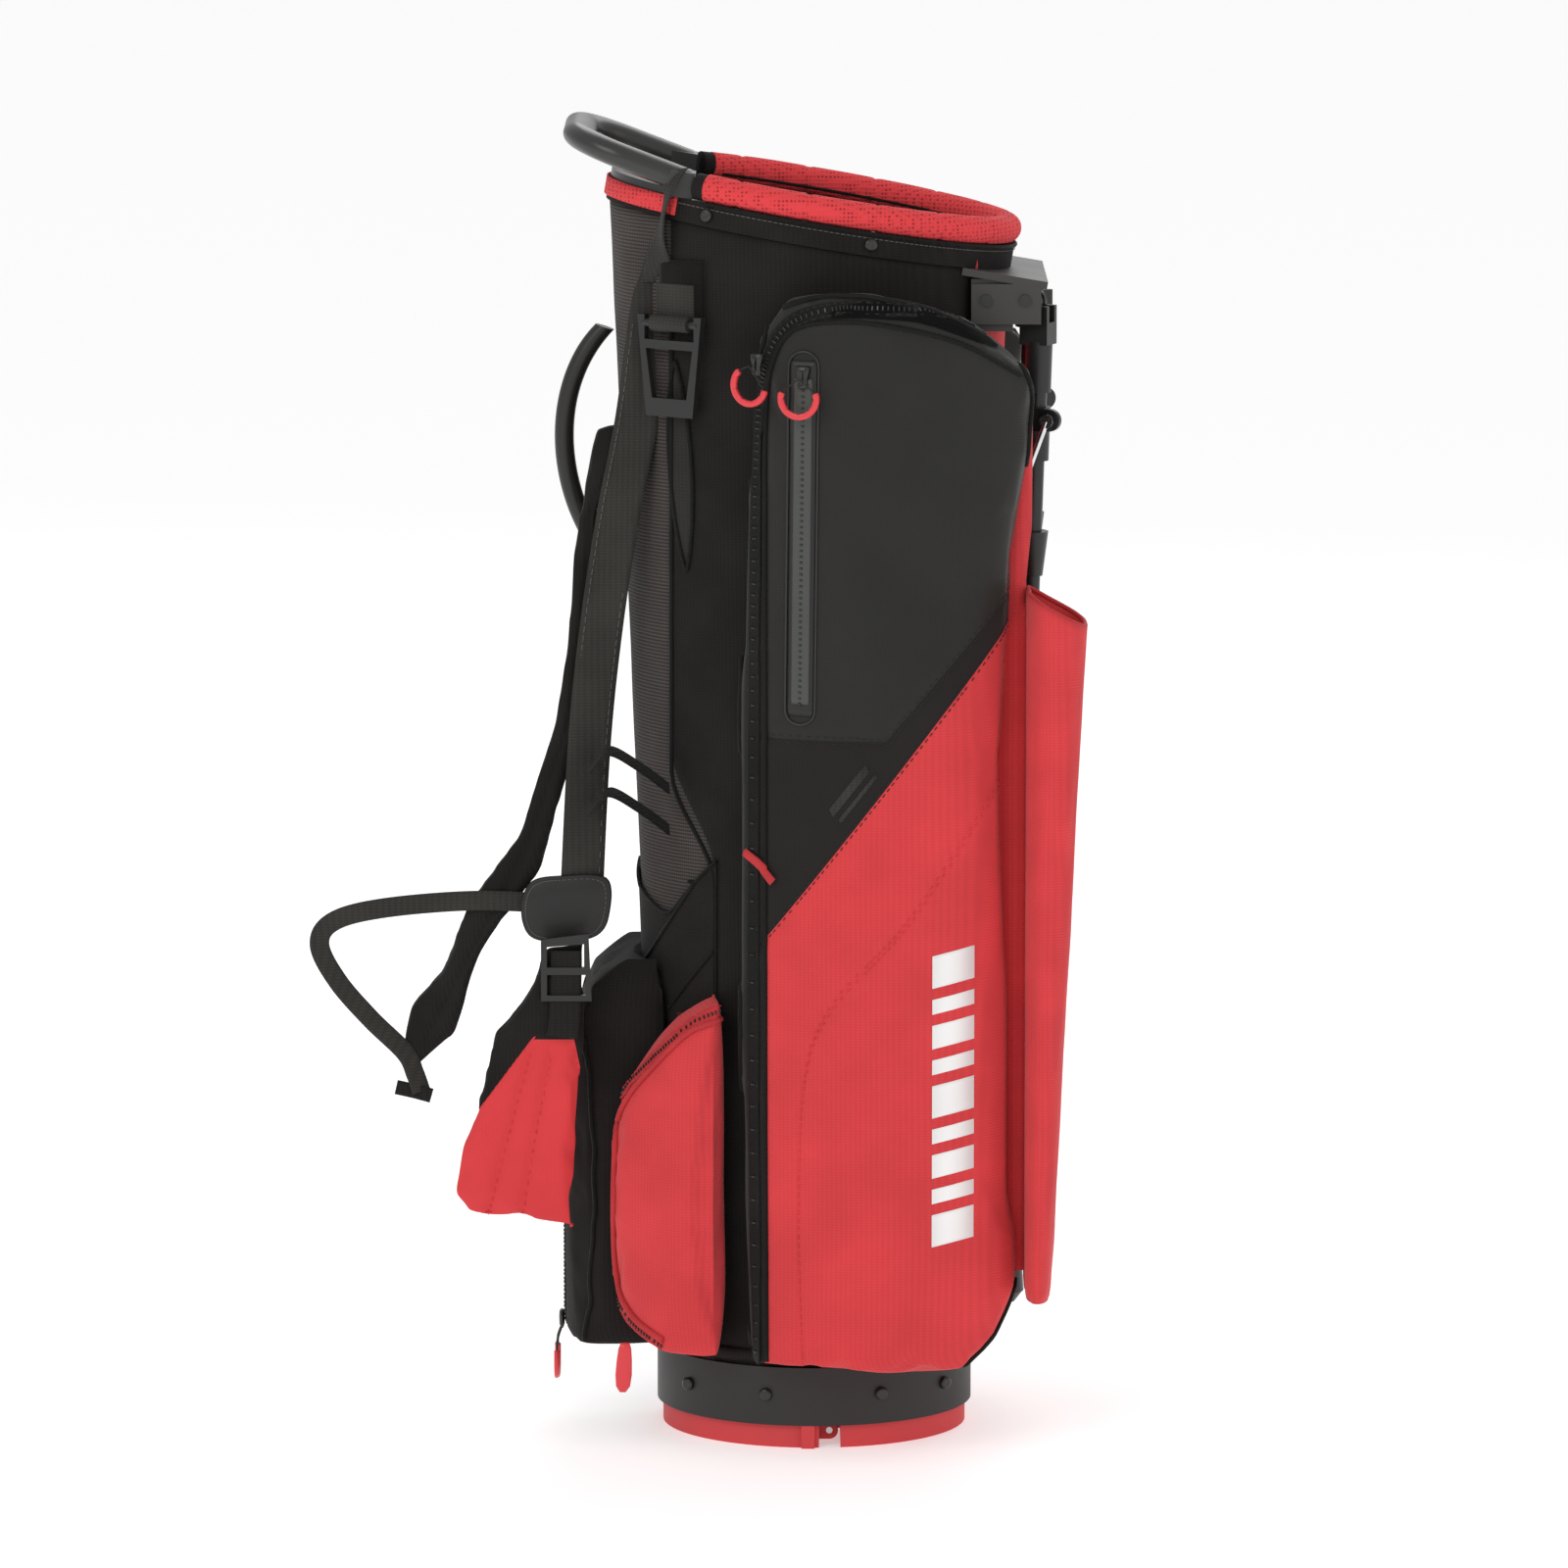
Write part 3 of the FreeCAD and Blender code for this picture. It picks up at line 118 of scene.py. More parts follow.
def coordinates(tree, turn=0.0):
    coord = tree.nodes.new("ShaderNodeTexCoord")
    mapping = tree.nodes.new("ShaderNodeMapping")
    mapping.inputs["Rotation"].default_value = (0, 0, turn)
    link(tree, coord.outputs["Object"], mapping.inputs["Vector"])
    return mapping.outputs["Vector"]


def bands(tree, vector, pitch, direction, soften=0.0):
    wave = tree.nodes.new("ShaderNodeTexWave")
    wave.bands_direction = direction
    wave.inputs["Scale"].default_value = WAVE_PERIOD / pitch
    wave.inputs["Distortion"].default_value = soften
    link(tree, vector, wave.inputs["Vector"])
    return wave.outputs["Fac"]


def grain(tree, vector, scale, detail=3.0):
    tex = tree.nodes.new("ShaderNodeTexNoise")
    tex.inputs["Scale"].default_value = scale
    tex.inputs["Detail"].default_value = detail
    link(tree, vector, tex.inputs["Vector"])
    return tex.outputs["Fac"]


def combine(tree, operation, first, second):
    node = tree.nodes.new("ShaderNodeMath")
    node.operation = operation
    for socket, value in zip(node.inputs, (first, second)):
        if isinstance(value, (int, float)):
            socket.default_value = value
        else:
            link(tree, value, socket)
    return node.outputs["Value"]


def blend_colors(tree, factor, low, high):
    ramp = tree.nodes.new("ShaderNodeValToRGB")
    ramp.color_ramp.elements[0].color = (*low, 1)
    ramp.color_ramp.elements[1].color = (*high, 1)
    link(tree, factor, ramp.inputs["Fac"])
    return ramp.outputs["Color"], ramp


def bump(tree, bsdf, height, strength, distance):
    node = tree.nodes.new("ShaderNodeBump")
    node.inputs["Strength"].default_value = strength
    node.inputs["Distance"].default_value = distance
    link(tree, height, node.inputs["Height"])
    link(tree, node.outputs["Normal"], bsdf.inputs["Normal"])


def shade(color, factor):
    return tuple(min(1.0, c * factor) for c in color)


def woven(name, color, pitch=0.0016, depth=0.5, rough=0.85, sheen=0.04, spread=0.22, direction="Z"):
    """Cloth: two crossed sets of threads, uneven dye and fluff."""
    mat, tree, bsdf = shader(name, color, rough, sheen=sheen, specular=0.12)
    straight = coordinates(tree)
    turned = coordinates(tree, math.radians(45))
    rows = bands(tree, straight, pitch, direction)
    columns = bands(tree, turned, pitch * 1.4, "X")
    threads = combine(tree, "MULTIPLY", rows, columns)
    fluff = grain(tree, straight, 900.0)
    cloud = grain(tree, straight, 22.0, 5.0)
    mixed = combine(tree, "ADD", combine(tree, "MULTIPLY", cloud, 0.72), combine(tree, "MULTIPLY", threads, 0.28))
    tint, ramp = blend_colors(tree, mixed, shade(color, 1 - spread), shade(color, 1 + spread))
    ramp.color_ramp.elements[0].position = 0.3
    ramp.color_ramp.elements[1].position = 0.75
    link(tree, tint, bsdf.inputs["Base Color"])
    height = combine(tree, "ADD", combine(tree, "MULTIPLY", threads, 0.8), combine(tree, "MULTIPLY", fluff, 0.3))
    bump(tree, bsdf, height, depth, 0.0004)
    return mat


def coated(name, color, rough=0.42):
    """Coated cloth: fine pebbling, a soft gloss and faint rub marks."""
    mat, tree, bsdf = shader(name, color, rough, specular=0.3, coat=0.02)
    vector = coordinates(tree)
    cells = tree.nodes.new("ShaderNodeTexVoronoi")
    cells.inputs["Scale"].default_value = 700.0
    link(tree, vector, cells.inputs["Vector"])
    rub = grain(tree, vector, 9.0, 6.0)
    tint, _ = blend_colors(tree, rub, shade(color, 0.8), shade(color, 1.35))
    link(tree, tint, bsdf.inputs["Base Color"])
    gloss = tree.nodes.new("ShaderNodeMapRange")
    gloss.inputs["To Min"].default_value = rough - 0.08
    gloss.inputs["To Max"].default_value = rough + 0.16
    link(tree, rub, gloss.inputs["Value"])
    link(tree, gloss.outputs["Result"], bsdf.inputs["Roughness"])
    bump(tree, bsdf, cells.outputs["Distance"], 0.25, 0.0003)
    return mat


def air_mesh(name, color, pitch=0.0027, depth=1.0):
    """Spacer mesh: a honeycomb of dark holes between light threads."""
    mat, tree, bsdf = shader(name, color, 0.8, sheen=0.05, specular=0.12)
    vector = coordinates(tree)
    cells = tree.nodes.new("ShaderNodeTexVoronoi")
    cells.feature = "F1"
    cells.inputs["Scale"].default_value = 1 / pitch
    cells.inputs["Randomness"].default_value = 0.15
    link(tree, vector, cells.inputs["Vector"])
    tint, ramp = blend_colors(tree, cells.outputs["Distance"], shade(color, 0.35), shade(color, 1.15))
    ramp.color_ramp.elements[0].position = 0.12
    ramp.color_ramp.elements[1].position = 0.42
    link(tree, tint, bsdf.inputs["Base Color"])
    bump(tree, bsdf, cells.outputs["Distance"], depth, 0.0009)
    return mat


def ribbed_mesh(name, color, pitch=0.0024):
    """Knitted mesh with slanting ribs, each a row of small loops."""
    mat, tree, bsdf = shader(name, color, 0.75, sheen=0.04, specular=0.12)
    vector = coordinates(tree)
    ribs = bands(tree, vector, pitch, "Z", 0.4)
    turned = coordinates(tree, math.radians(45))
    loops = bands(tree, turned, pitch * 0.8, "X", 0.4)
    both = combine(tree, "MULTIPLY", ribs, combine(tree, "ADD", combine(tree, "MULTIPLY", loops, 0.6), 0.4))
    cloud = grain(tree, vector, 30.0)
    level = combine(tree, "ADD", combine(tree, "MULTIPLY", both, 0.7), combine(tree, "MULTIPLY", cloud, 0.3))
    tint, ramp = blend_colors(tree, level, shade(color, 0.45), shade(color, 1.5))
    ramp.color_ramp.elements[0].position = 0.15
    ramp.color_ramp.elements[1].position = 0.8
    link(tree, tint, bsdf.inputs["Base Color"])
    bump(tree, bsdf, both, 0.8, 0.0006)
    return mat


def strapping(name, color, direction="Z"):
    """Webbing: fine ribs and cross threads."""
    return woven(name, color, pitch=0.0021, depth=0.9, rough=0.7, sheen=0.05, spread=0.3, direction=direction)


def moulded(name, color, rough=0.5, texture=420.0, depth=0.12, wear=1.35):
    """Moulded plastic or rubber: fine spark grain and slightly polished, paler high spots."""
    mat, tree, bsdf = shader(name, color, rough, specular=0.45)
    vector = coordinates(tree)
    fine = grain(tree, vector, texture, 4.0)
    broad = grain(tree, vector, 14.0, 4.0)
    geometry = tree.nodes.new("ShaderNodeNewGeometry")
    edge = combine(tree, "POWER", geometry.outputs["Pointiness"], 4.0)
    level = combine(tree, "ADD", combine(tree, "MULTIPLY", broad, 0.8), edge)
    tint, _ = blend_colors(tree, level, shade(color, 0.85), shade(color, wear))
    link(tree, tint, bsdf.inputs["Base Color"])
    span = tree.nodes.new("ShaderNodeMapRange")
    span.inputs["To Min"].default_value = max(0.05, rough - 0.1)
    span.inputs["To Max"].default_value = min(1.0, rough + 0.12)
    link(tree, broad, span.inputs["Value"])
    link(tree, span.outputs["Result"], bsdf.inputs["Roughness"])
    bump(tree, bsdf, fine, depth, 0.0003)
    return mat


def metallic(name, color, rough=0.3, metal=1.0, brush=0.2):
    """Metal or enamel with drawn lines along its length and faint scuffs."""
    mat, tree, bsdf = shader(name, color, rough, metal)
    coord = tree.nodes.new("ShaderNodeTexCoord")
    mapping = tree.nodes.new("ShaderNodeMapping")
    mapping.inputs["Scale"].default_value = (900, 900, 12)
    link(tree, coord.outputs["Object"], mapping.inputs["Vector"])
    lines = grain(tree, mapping.outputs["Vector"], 1.0, 2.0)
    scuffs = grain(tree, coord.outputs["Object"], 60.0, 6.0)
    tint, _ = blend_colors(tree, scuffs, shade(color, 0.8), shade(color, 1.25))
    link(tree, tint, bsdf.inputs["Base Color"])
    span = tree.nodes.new("ShaderNodeMapRange")
    span.inputs["To Min"].default_value = rough * 0.7
    span.inputs["To Max"].default_value = min(1.0, rough * 1.5)
    link(tree, scuffs, span.inputs["Value"])
    link(tree, span.outputs["Result"], bsdf.inputs["Roughness"])
    bump(tree, bsdf, lines, brush, 0.0001)
    return mat


def above_line(tree, vector, x0, z0, slope):
    """1 where a point is above the slanting line z = z0 + slope * (x - x0)."""
    split = tree.nodes.new("ShaderNodeSeparateXYZ")
    link(tree, vector, split.inputs["Vector"])
    rise = combine(tree, "MULTIPLY", combine(tree, "SUBTRACT", split.outputs["X"], x0), slope)
    return combine(tree, "GREATER_THAN", combine(tree, "SUBTRACT", split.outputs["Z"], rise), z0)


def pocket_cloth(name, red, black, panel):
    """The side pocket: red ripstop below a slanting seam, black cloth above it, a coated panel on top."""
    mat = woven(name, red, pitch=0.0019, depth=0.35, rough=0.8, sheen=0.1, spread=0.13)
    tree = mat.node_tree
    bsdf = tree.nodes["Principled BSDF"]
    vector = coordinates(tree)
    split = tree.nodes.new("ShaderNodeSeparateXYZ")
    link(tree, vector, split.inputs["Vector"])
    strip = combine(tree, "LESS_THAN", split.outputs["X"], -0.0335)
    upper = combine(tree, "MAXIMUM", above_line(tree, vector, 0.0, 0.400, 1.30), strip)
    coated_zone = combine(tree, "MULTIPLY", above_line(tree, vector, 0.0, 0.493, 0.0),
                          above_line(tree, vector, 0.047, 0.493, 1.16))
    coated_zone = combine(tree, "MULTIPLY", coated_zone, combine(tree, "SUBTRACT", 1.0, strip))
    old = bsdf.inputs["Base Color"].links[0].from_socket
    cloud = grain(tree, vector, 18.0, 5.0)
    dark, _ = blend_colors(tree, cloud, shade(black, 0.75), shade(black, 1.3))
    satin, _ = blend_colors(tree, cloud, shade(panel, 0.8), shade(panel, 1.25))
    first = tree.nodes.new("ShaderNodeMixRGB")
    link(tree, upper, first.inputs["Fac"])
    link(tree, old, first.inputs["Color1"])
    link(tree, dark, first.inputs["Color2"])
    second = tree.nodes.new("ShaderNodeMixRGB")
    link(tree, coated_zone, second.inputs["Fac"])
    link(tree, first.outputs["Color"], second.inputs["Color1"])
    link(tree, satin, second.inputs["Color2"])
    link(tree, second.outputs["Color"], bsdf.inputs["Base Color"])
    link(tree, combine(tree, "SUBTRACT", 0.82, combine(tree, "MULTIPLY", coated_zone, 0.38)),
         bsdf.inputs["Roughness"])
    return mat


def split_pad(name, dark, red):
    """The shoulder pad: dark cloth, with a red panel that flares below a seam."""
    mat = woven(name, dark, pitch=0.0013, depth=0.4, rough=0.9, sheen=0.05, spread=0.35)
    tree = mat.node_tree
    bsdf = tree.nodes["Principled BSDF"]
    vector = coordinates(tree)
    dark_zone = combine(tree, "MAXIMUM", above_line(tree, vector, 0.0, 0.280, 0.0),
                        combine(tree, "MAXIMUM", above_line(tree, vector, -0.190, 0.281, 1.35),
                                above_line(tree, vector, -0.161, 0.275, -5.3)))
    old = bsdf.inputs["Base Color"].links[0].from_socket
    bright, _ = blend_colors(tree, grain(tree, vector, 18.0, 5.0), shade(red, 0.87), shade(red, 1.13))
    mix = tree.nodes.new("ShaderNodeMixRGB")
    link(tree, dark_zone, mix.inputs["Fac"])
    link(tree, bright, mix.inputs["Color1"])
    link(tree, old, mix.inputs["Color2"])
    link(tree, mix.outputs["Color"], bsdf.inputs["Base Color"])
    return mat


def make_materials():
    bag = sizes()
    red, black = tuple(bag.red), tuple(bag.black)
    panel = (0.021, 0.0205, 0.0185)
    pocket_cloth("pocket_cloth", red, black, panel)
    split_pad("pad_split", (0.017, 0.015, 0.014), red)
    woven("red_cloth", red, pitch=0.0019, depth=0.35, rough=0.8, sheen=0.1, spread=0.13)
    woven("black_cloth", black, pitch=0.0018, depth=0.5, rough=0.8, sheen=0.03, spread=0.3)
    woven("inner_cloth", (0.03, 0.028, 0.027), pitch=0.0022)
    woven("pad_cloth", (0.017, 0.015, 0.014), pitch=0.0013, depth=0.4, rough=0.9, sheen=0.05, spread=0.35)
    woven("pile", (0.010, 0.009, 0.008), pitch=0.0011, depth=1.0, rough=0.95, sheen=0.08, spread=0.5)
    # painted shade: a near-black cloth used only for the sheet that stands in for the shadow inside the clothing
    # pocket's open mouth
    woven("painted_shade_black", (0.003, 0.003, 0.003), pitch=0.0022, sheen=0.0)
    coated("soft_patch", (0.017, 0.016, 0.0155), rough=0.36)
    coated("bar_cover", (0.10, 0.098, 0.095), rough=0.5)
    air_mesh("red_mesh", red)
    ribbed_mesh("grey_mesh", (0.066, 0.056, 0.052))
    strapping("webbing", (0.040, 0.037, 0.033))
    strapping("dark_webbing", (0.016, 0.015, 0.014))
    woven("red_tape", shade(red, 0.85), pitch=0.0011, depth=0.8, rough=0.65, spread=0.2)
    woven("black_tape", (0.010, 0.0095, 0.009), pitch=0.0011, depth=0.8, rough=0.6, spread=0.3)
    moulded("black_plastic", (0.014, 0.0135, 0.013), rough=0.4)
    moulded("base_black", (0.016, 0.015, 0.014), rough=0.5, texture=260.0, depth=0.25)
    moulded("grey_plastic", (0.040, 0.038, 0.036), rough=0.4)
    moulded("handle_grey", (0.030, 0.030, 0.029), rough=0.3, depth=0.08)
    moulded("black_rubber", (0.014, 0.013, 0.012), rough=0.38, texture=180.0)
    moulded("red_rubber", (0.60, 0.045, 0.05), rough=0.6, texture=240.0, depth=0.3, wear=1.15)
    moulded("red_plastic", (0.72, 0.045, 0.055), rough=0.3, depth=0.06, wear=1.1)
    moulded("white_ink", (0.90, 0.89, 0.88), rough=0.55, wear=1.05)
    coated("welt_grey", (0.060, 0.063, 0.057), rough=0.34)
    moulded("rod_white", (0.62, 0.62, 0.56), rough=0.35)
    metallic("bare_steel", (0.55, 0.55, 0.56))
    metallic("bright_wire", (0.66, 0.66, 0.67), rough=0.22)
    metallic("leg_enamel", (0.028, 0.028, 0.028), rough=0.3, metal=0.4)
    metallic("black_metal", (0.045, 0.044, 0.043), rough=0.28, metal=0.7)
    woven("red_thread", shade(red, 1.1), pitch=0.0006)
    woven("black_thread", (0.035, 0.032, 0.03), pitch=0.0006)
    woven("pale_thread", (0.13, 0.12, 0.11), pitch=0.0006)


# ------------------------------------------------------------------ mesh tools
def clear_selection():
    bpy.ops.object.select_all(action="DESELECT")
    bpy.context.view_layer.objects.active = None


def activate(piece):
    clear_selection()
    piece.hide_set(False)
    piece.select_set(True)
    bpy.context.view_layer.objects.active = piece


def make(name, verts, faces, material, smooth=True):
    data = bpy.data.meshes.new(name)
    data.from_pydata([tuple(v) for v in verts], [], faces)
    data.validate()
    piece = bpy.data.objects.new(name, data)
    bpy.context.scene.collection.objects.link(piece)
    piece.data.materials.append(MATERIALS[material])
    tidy = bmesh.new()
    tidy.from_mesh(data)
    bmesh.ops.recalc_face_normals(tidy, faces=tidy.faces)
    tidy.to_mesh(data)
    tidy.free()
    for face in data.polygons:
        face.use_smooth = smooth
    return piece


def place(piece, body="bag", slot="black_cloth", *replaced):
    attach(piece, body)
    if replaced:
        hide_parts(*replaced)
    return piece


def apply_all(piece):
    activate(piece)
    for modifier in list(piece.modifiers):
        bpy.ops.object.modifier_apply(modifier=modifier.name)


def thicken(piece, thickness, offset=-1):
    solid = piece.modifiers.new("Thickness", "SOLIDIFY")
    solid.thickness = thickness
    solid.offset = offset
    apply_all(piece)


def ring_faces(rows, ring, closed=False, first=0):
    """Quads between rows of points set in rings, with both ends capped unless the rows meet."""
    faces = []
    for i in range(rows if closed else rows - 1):
        here, there = first + i * ring, first + (i + 1) % rows * ring
        faces += [(here + k, here + (k + 1) % ring, there + (k + 1) % ring, there + k) for k in range(ring)]
    if not closed:
        faces += [tuple(range(first, first + ring)), tuple(first + (rows - 1) * ring + k for k in range(ring))]
    return faces


def grid_faces(rows, columns, first=0):
    """Quads of a grid that has rows + 1 by columns + 1 points."""
    step = columns + 1
    return [(a, a + 1, a + step + 1, a + step)
            for i in range(rows) for a in range(first + i * step, first + i * step + columns)]


def shell_faces(rows, columns):
    """An outer and an inner grid, closed round their edges."""
    step, size = columns + 1, (columns + 1) * (rows + 1)
    edges = [(i * step + k, i * step + k + 1) for i in (0, rows) for k in range(columns)]
    edges += [(i * step + k, (i + 1) * step + k) for i in range(rows) for k in (0, columns)]
    return (grid_faces(rows, columns) + grid_faces(rows, columns, size)
            + [(a, b, b + size, a + size) for a, b in edges])


def circle(count):
    """Cosine and sine round a full turn."""
    return [(math.cos(math.tau * k / count), math.sin(math.tau * k / count)) for k in range(count)]


def smooth_path(points, count, closed=False):
    """A Catmull-Rom curve through the points, sampled evenly in parameter."""
    points = [Vector(p) for p in points]
    total = len(points)
    spans = total if closed else total - 1
    out = []
    for k in range(count):
        place_on = k * spans / (count if closed else count - 1)
        i = min(int(place_on), spans - 1)
        t = place_on - i
        pick = (lambda j: points[j % total]) if closed else (lambda j: points[max(0, min(total - 1, j))])
        a, b, c, d = pick(i - 1), pick(i), pick(i + 1), pick(i + 2)
        out.append(0.5 * ((2 * b) + (c - a) * t + (2 * a - 5 * b + 4 * c - d) * t * t
                          + (3 * b - a - 3 * c + d) * t ** 3))
    return out


def frames(points, closed=False):
    """A tangent and two crosswise directions at each point, turned as little as possible."""
    count = len(points)
    tangents = []
    for k in range(count):
        ahead = points[(k + 1) % count] if closed or k < count - 1 else points[k]
        behind = points[k - 1] if closed or k > 0 else points[k]
        tangents.append((ahead - behind).normalized())
    up = tangents[0].orthogonal().normalized()
    out = []
    for tangent in tangents:
        up = (up - tangent * up.dot(tangent)).normalized()
        out.append((tangent, up, tangent.cross(up)))
    return out


def tube(name, points, radius, material, ring=10, closed=False, flat=1.0):
    """A round or flattened tube along a path."""
    verts = []
    for point, (_, up, side) in zip(points, frames(points, closed)):
        for k in range(ring):
            angle = math.tau * k / ring
            verts.append(point + up * math.cos(angle) * radius + side * math.sin(angle) * radius * flat)
    return make(name, verts, ring_faces(len(points), ring, closed), material)


def ribbon(name, points, across, width, thick, material, crown=0.0):
    """A flat strap: points along its middle, the direction of its width at each, rounded edges."""
    verts = []
    steps = 8
    count = len(points)
    for k in range(count):
        tangent = (points[min(count - 1, k + 1)] - points[max(0, k - 1)]).normalized()
        wide = across[k]
        wide = (wide - tangent * wide.dot(tangent)).normalized()
        normal = tangent.cross(wide)
        half = (width[k] if hasattr(width, "__len__") else width) / 2
        loop = []
        for s in range(steps + 1):
            u = -1 + 2 * s / steps
            edge = thick / 2 * math.sqrt(max(0.04, 1 - abs(u) ** 8))
            loop.append((u, edge + crown * (1 - u * u)))
        for s in range(steps, -1, -1):
            u = -1 + 2 * s / steps
            edge = thick / 2 * math.sqrt(max(0.04, 1 - abs(u) ** 8))
            loop.append((u, -edge + crown * (1 - u * u)))
        verts += [points[k] + wide * half * u + normal * h for u, h in loop]
    return make(name, verts, ring_faces(count, 2 * (steps + 1)), material)


def blocks(name, spots, size, material):
    """Many small rounded bars in one mesh, each at (place, along, out)."""
    verts, faces = [], []
    for point, along, out in spots:
        along = along.normalized()
        out = (out - along * out.dot(along)).normalized()
        side = along.cross(out)
        base = len(verts)
        for a, b, c in ((-1, -1, 0), (1, -1, 0), (1, 1, 0), (-1, 1, 0), (-0.75, -0.6, 1), (0.75, -0.6, 1),
                        (0.75, 0.6, 1), (-0.75, 0.6, 1)):
            verts.append(point + along * a * size[0] / 2 + side * b * size[1] / 2 + out * c * size[2])
        for quad in ((3, 2, 1, 0), (4, 5, 6, 7), (0, 1, 5, 4), (1, 2, 6, 5), (2, 3, 7, 6), (3, 0, 4, 7)):
            faces.append(tuple(base + q for q in quad))
    return make(name, verts, faces, material, smooth=False)


def surface_of(piece):
    return BVHTree.FromObject(piece, bpy.context.evaluated_depsgraph_get())


def onto(tree, point, direction, lift=0.0):
    """Where a line from outside first meets a surface, lifted off it, with the normal there."""
    direction = Vector(direction).normalized()
    start = Vector(point) - direction * 0.4
    hit, normal, _, _ = tree.ray_cast(start, direction)
    if hit is None:
        hit, normal, _, _ = tree.find_nearest(Vector(point))
    if normal.dot(direction) > 0:
        normal = -normal
    return hit + normal * lift, normal


def drape(tree, points, direction, lift):
    """Each point laid on a surface, with its normal."""
    laid = [onto(tree, p, direction, lift) for p in points]
    return [p for p, n in laid], [n for p, n in laid]


def corded(name, line, radius, material="black_tape", slot="black_cloth", closed=False, body="bag"):
    """A thin round cord or binding along a line."""
    return place(tube(name, line, radius, material, ring=8, closed=closed), body, slot)


def piping(name, tree, points, radius, material, direction=NEAR, lift=None):
    laid, _ = drape(tree, points, direction, radius * 0.35 if lift is None else lift)
    return corded(name, laid, radius, material, "red_cloth")


def every(points, pitch):
    """The numbers of the points at least a pitch apart, each with the step that led there."""
    gone = 0.0
    for k in range(1, len(points)):
        step = points[k] - points[k - 1]
        gone += step.length
        if gone >= pitch:
            gone = 0.0
            yield k, step


def sewn(name, points, normals, material, slot="black_cloth"):
    """A row of stitches along points that lie on a surface."""
    spots = [(points[k], step, normals[k]) for k, step in every(points, 0.0042)]
    return place(blocks(name, spots, STITCH, material), "bag", slot)


def zip_fastener(name, tree, points, width, tape, direction=NEAR, slot="black_cloth", tooth=0.0046,
                 thread="black_thread"):
    """A zip laid on a surface: tape, two sewn edges and a row of teeth."""
    laid, normals = drape(tree, points, direction, 0.0004)
    across = [n.cross((laid[min(len(laid) - 1, k + 1)] - laid[max(0, k - 1)]).normalized())
              for k, n in enumerate(normals)]
    place(ribbon(name + "_tape", laid, across, width, 0.0009, tape), "bag", slot)
    spots = [(laid[k] + normals[k] * 0.0004, across[k], normals[k]) for k, _ in every(laid, 0.0024)]
    place(blocks(name + "_teeth", spots, (tooth, 0.0015, 0.0010), "black_metal"), "bag", "zip_metal")
    for side, end in ((-1, "_sewn_a"), (1, "_sewn_b")):
        edge = [p + a.normalized() * side * width * 0.36 + n * 0.0005
                for p, a, n in zip(laid, across, normals)]
        sewn(name + end, edge, normals, thread, slot)


def wall(angle, z, grow=0.0):
    """A point on the bag tube's outside at an angle round it (0 at the front) and a height."""
    bag = sizes()
    low = Vector(((bag.foot_a + grow) * math.cos(angle), (bag.foot_b + grow) * math.sin(angle), TUBE_LOW))
    x, w = (bag.rim_a + grow) * math.cos(angle), -RIM_DROP
    top = Vector((x * math.cos(bag.tilt) + w * math.sin(bag.tilt), (bag.rim_b + grow) * math.sin(angle),
                  bag.rim_z - x * math.sin(bag.tilt) + w * math.cos(bag.tilt)))
    return low.lerp(top, (z - low.z) / (top.z - low.z))


def wall_top(angle):
    bag = sizes()
    x = bag.rim_a * math.cos(angle)
    return bag.rim_z - x * math.sin(bag.tilt) - RIM_DROP * math.cos(bag.tilt)


def split_angle(x, z):
    """The angle round the tube at which its wall stands at this x."""
    bag = sizes()
    share = max(0.0, min(1.0, (z - TUBE_LOW) / TUBE_RISE))
    reach = bag.foot_a + (bag.rim_a - bag.foot_a) * share
    return math.acos(max(-1.0, min(1.0, (x + 0.0042 * share) / reach)))


def wall_spot(x, z, grow=0.0):
    """A point on the near side of the tube's wall."""
    return wall(-split_angle(x, z), z, grow)


def wall_panel(name, start, end, low, material, inner=-0.003, outer=0.0, wrinkle=0.0008, seed=1.0, across=24,
               high=None):
    """A cloth panel of the bag tube between two angles (functions of height), with slight wrinkles."""
    up = 110
    verts = []
    for layer, grow in ((0, outer), (1, inner)):
        for i in range(up + 1):
            for k in range(across + 1):
                share = i / up
                z = low + ((0.76 if high is None else high - low) * share)
                first, last = start(z), end(z)
                angle = first + (last - first) * k / across
                z = low + ((wall_top(angle) if high is None else high) - low) * share
                point = wall(angle, z, grow)
                if layer == 0:
                    edge = math.sin(math.pi * k / across) ** 0.5
                    value = noise.noise(Vector((angle * 2.6 + seed, z * 6.0, seed)))
                    value += 0.4 * noise.noise(Vector((angle * 9.0 + seed, z * 24.0, seed)))
                    out = Vector((point.x, point.y, 0)).normalized()
                    point = point + out * (wrinkle * (value - 0.4) * edge)
                verts.append(point)
    row, size = across + 1, (across + 1) * (up + 1)
    faces = grid_faces(up, across) + [quad[::-1] for quad in grid_faces(up, across, size)]
    for i in range(up):
        for k in (0, across):
            a, b = i * row + k, (i + 1) * row + k
            faces.append((a, b, b + size, a + size) if k == 0 else (a, a + size, b + size, b))
    for k in range(across):
        for i in (0, up):
            a, b = i * row + k, i * row + k + 1
            faces.append((a, b, b + size, a + size) if i == up else (a, a + size, b + size, b))
    return make(name, verts, faces, material)


def joined_copy(name, nodes, split=None):
    """One mesh from one or more nodes, with the faces where they meet left out."""
    merged = bmesh.new()
    for node in nodes:
        merged.from_mesh(NODES[node].data)
    bmesh.ops.remove_doubles(merged, verts=merged.verts, dist=0.00005)
    if split is not None:
        inner = [f for f in merged.faces if all(abs(v.co.z - split) < 0.0001 for v in f.verts)]
        bmesh.ops.delete(merged, geom=inner, context="FACES")
    data = bpy.data.meshes.new(name)
    merged.to_mesh(data)
    merged.free()
    return data


PRESSURE, LAST_FRAME = 4.0, 16  # the cloth's pressure, and how long it swells


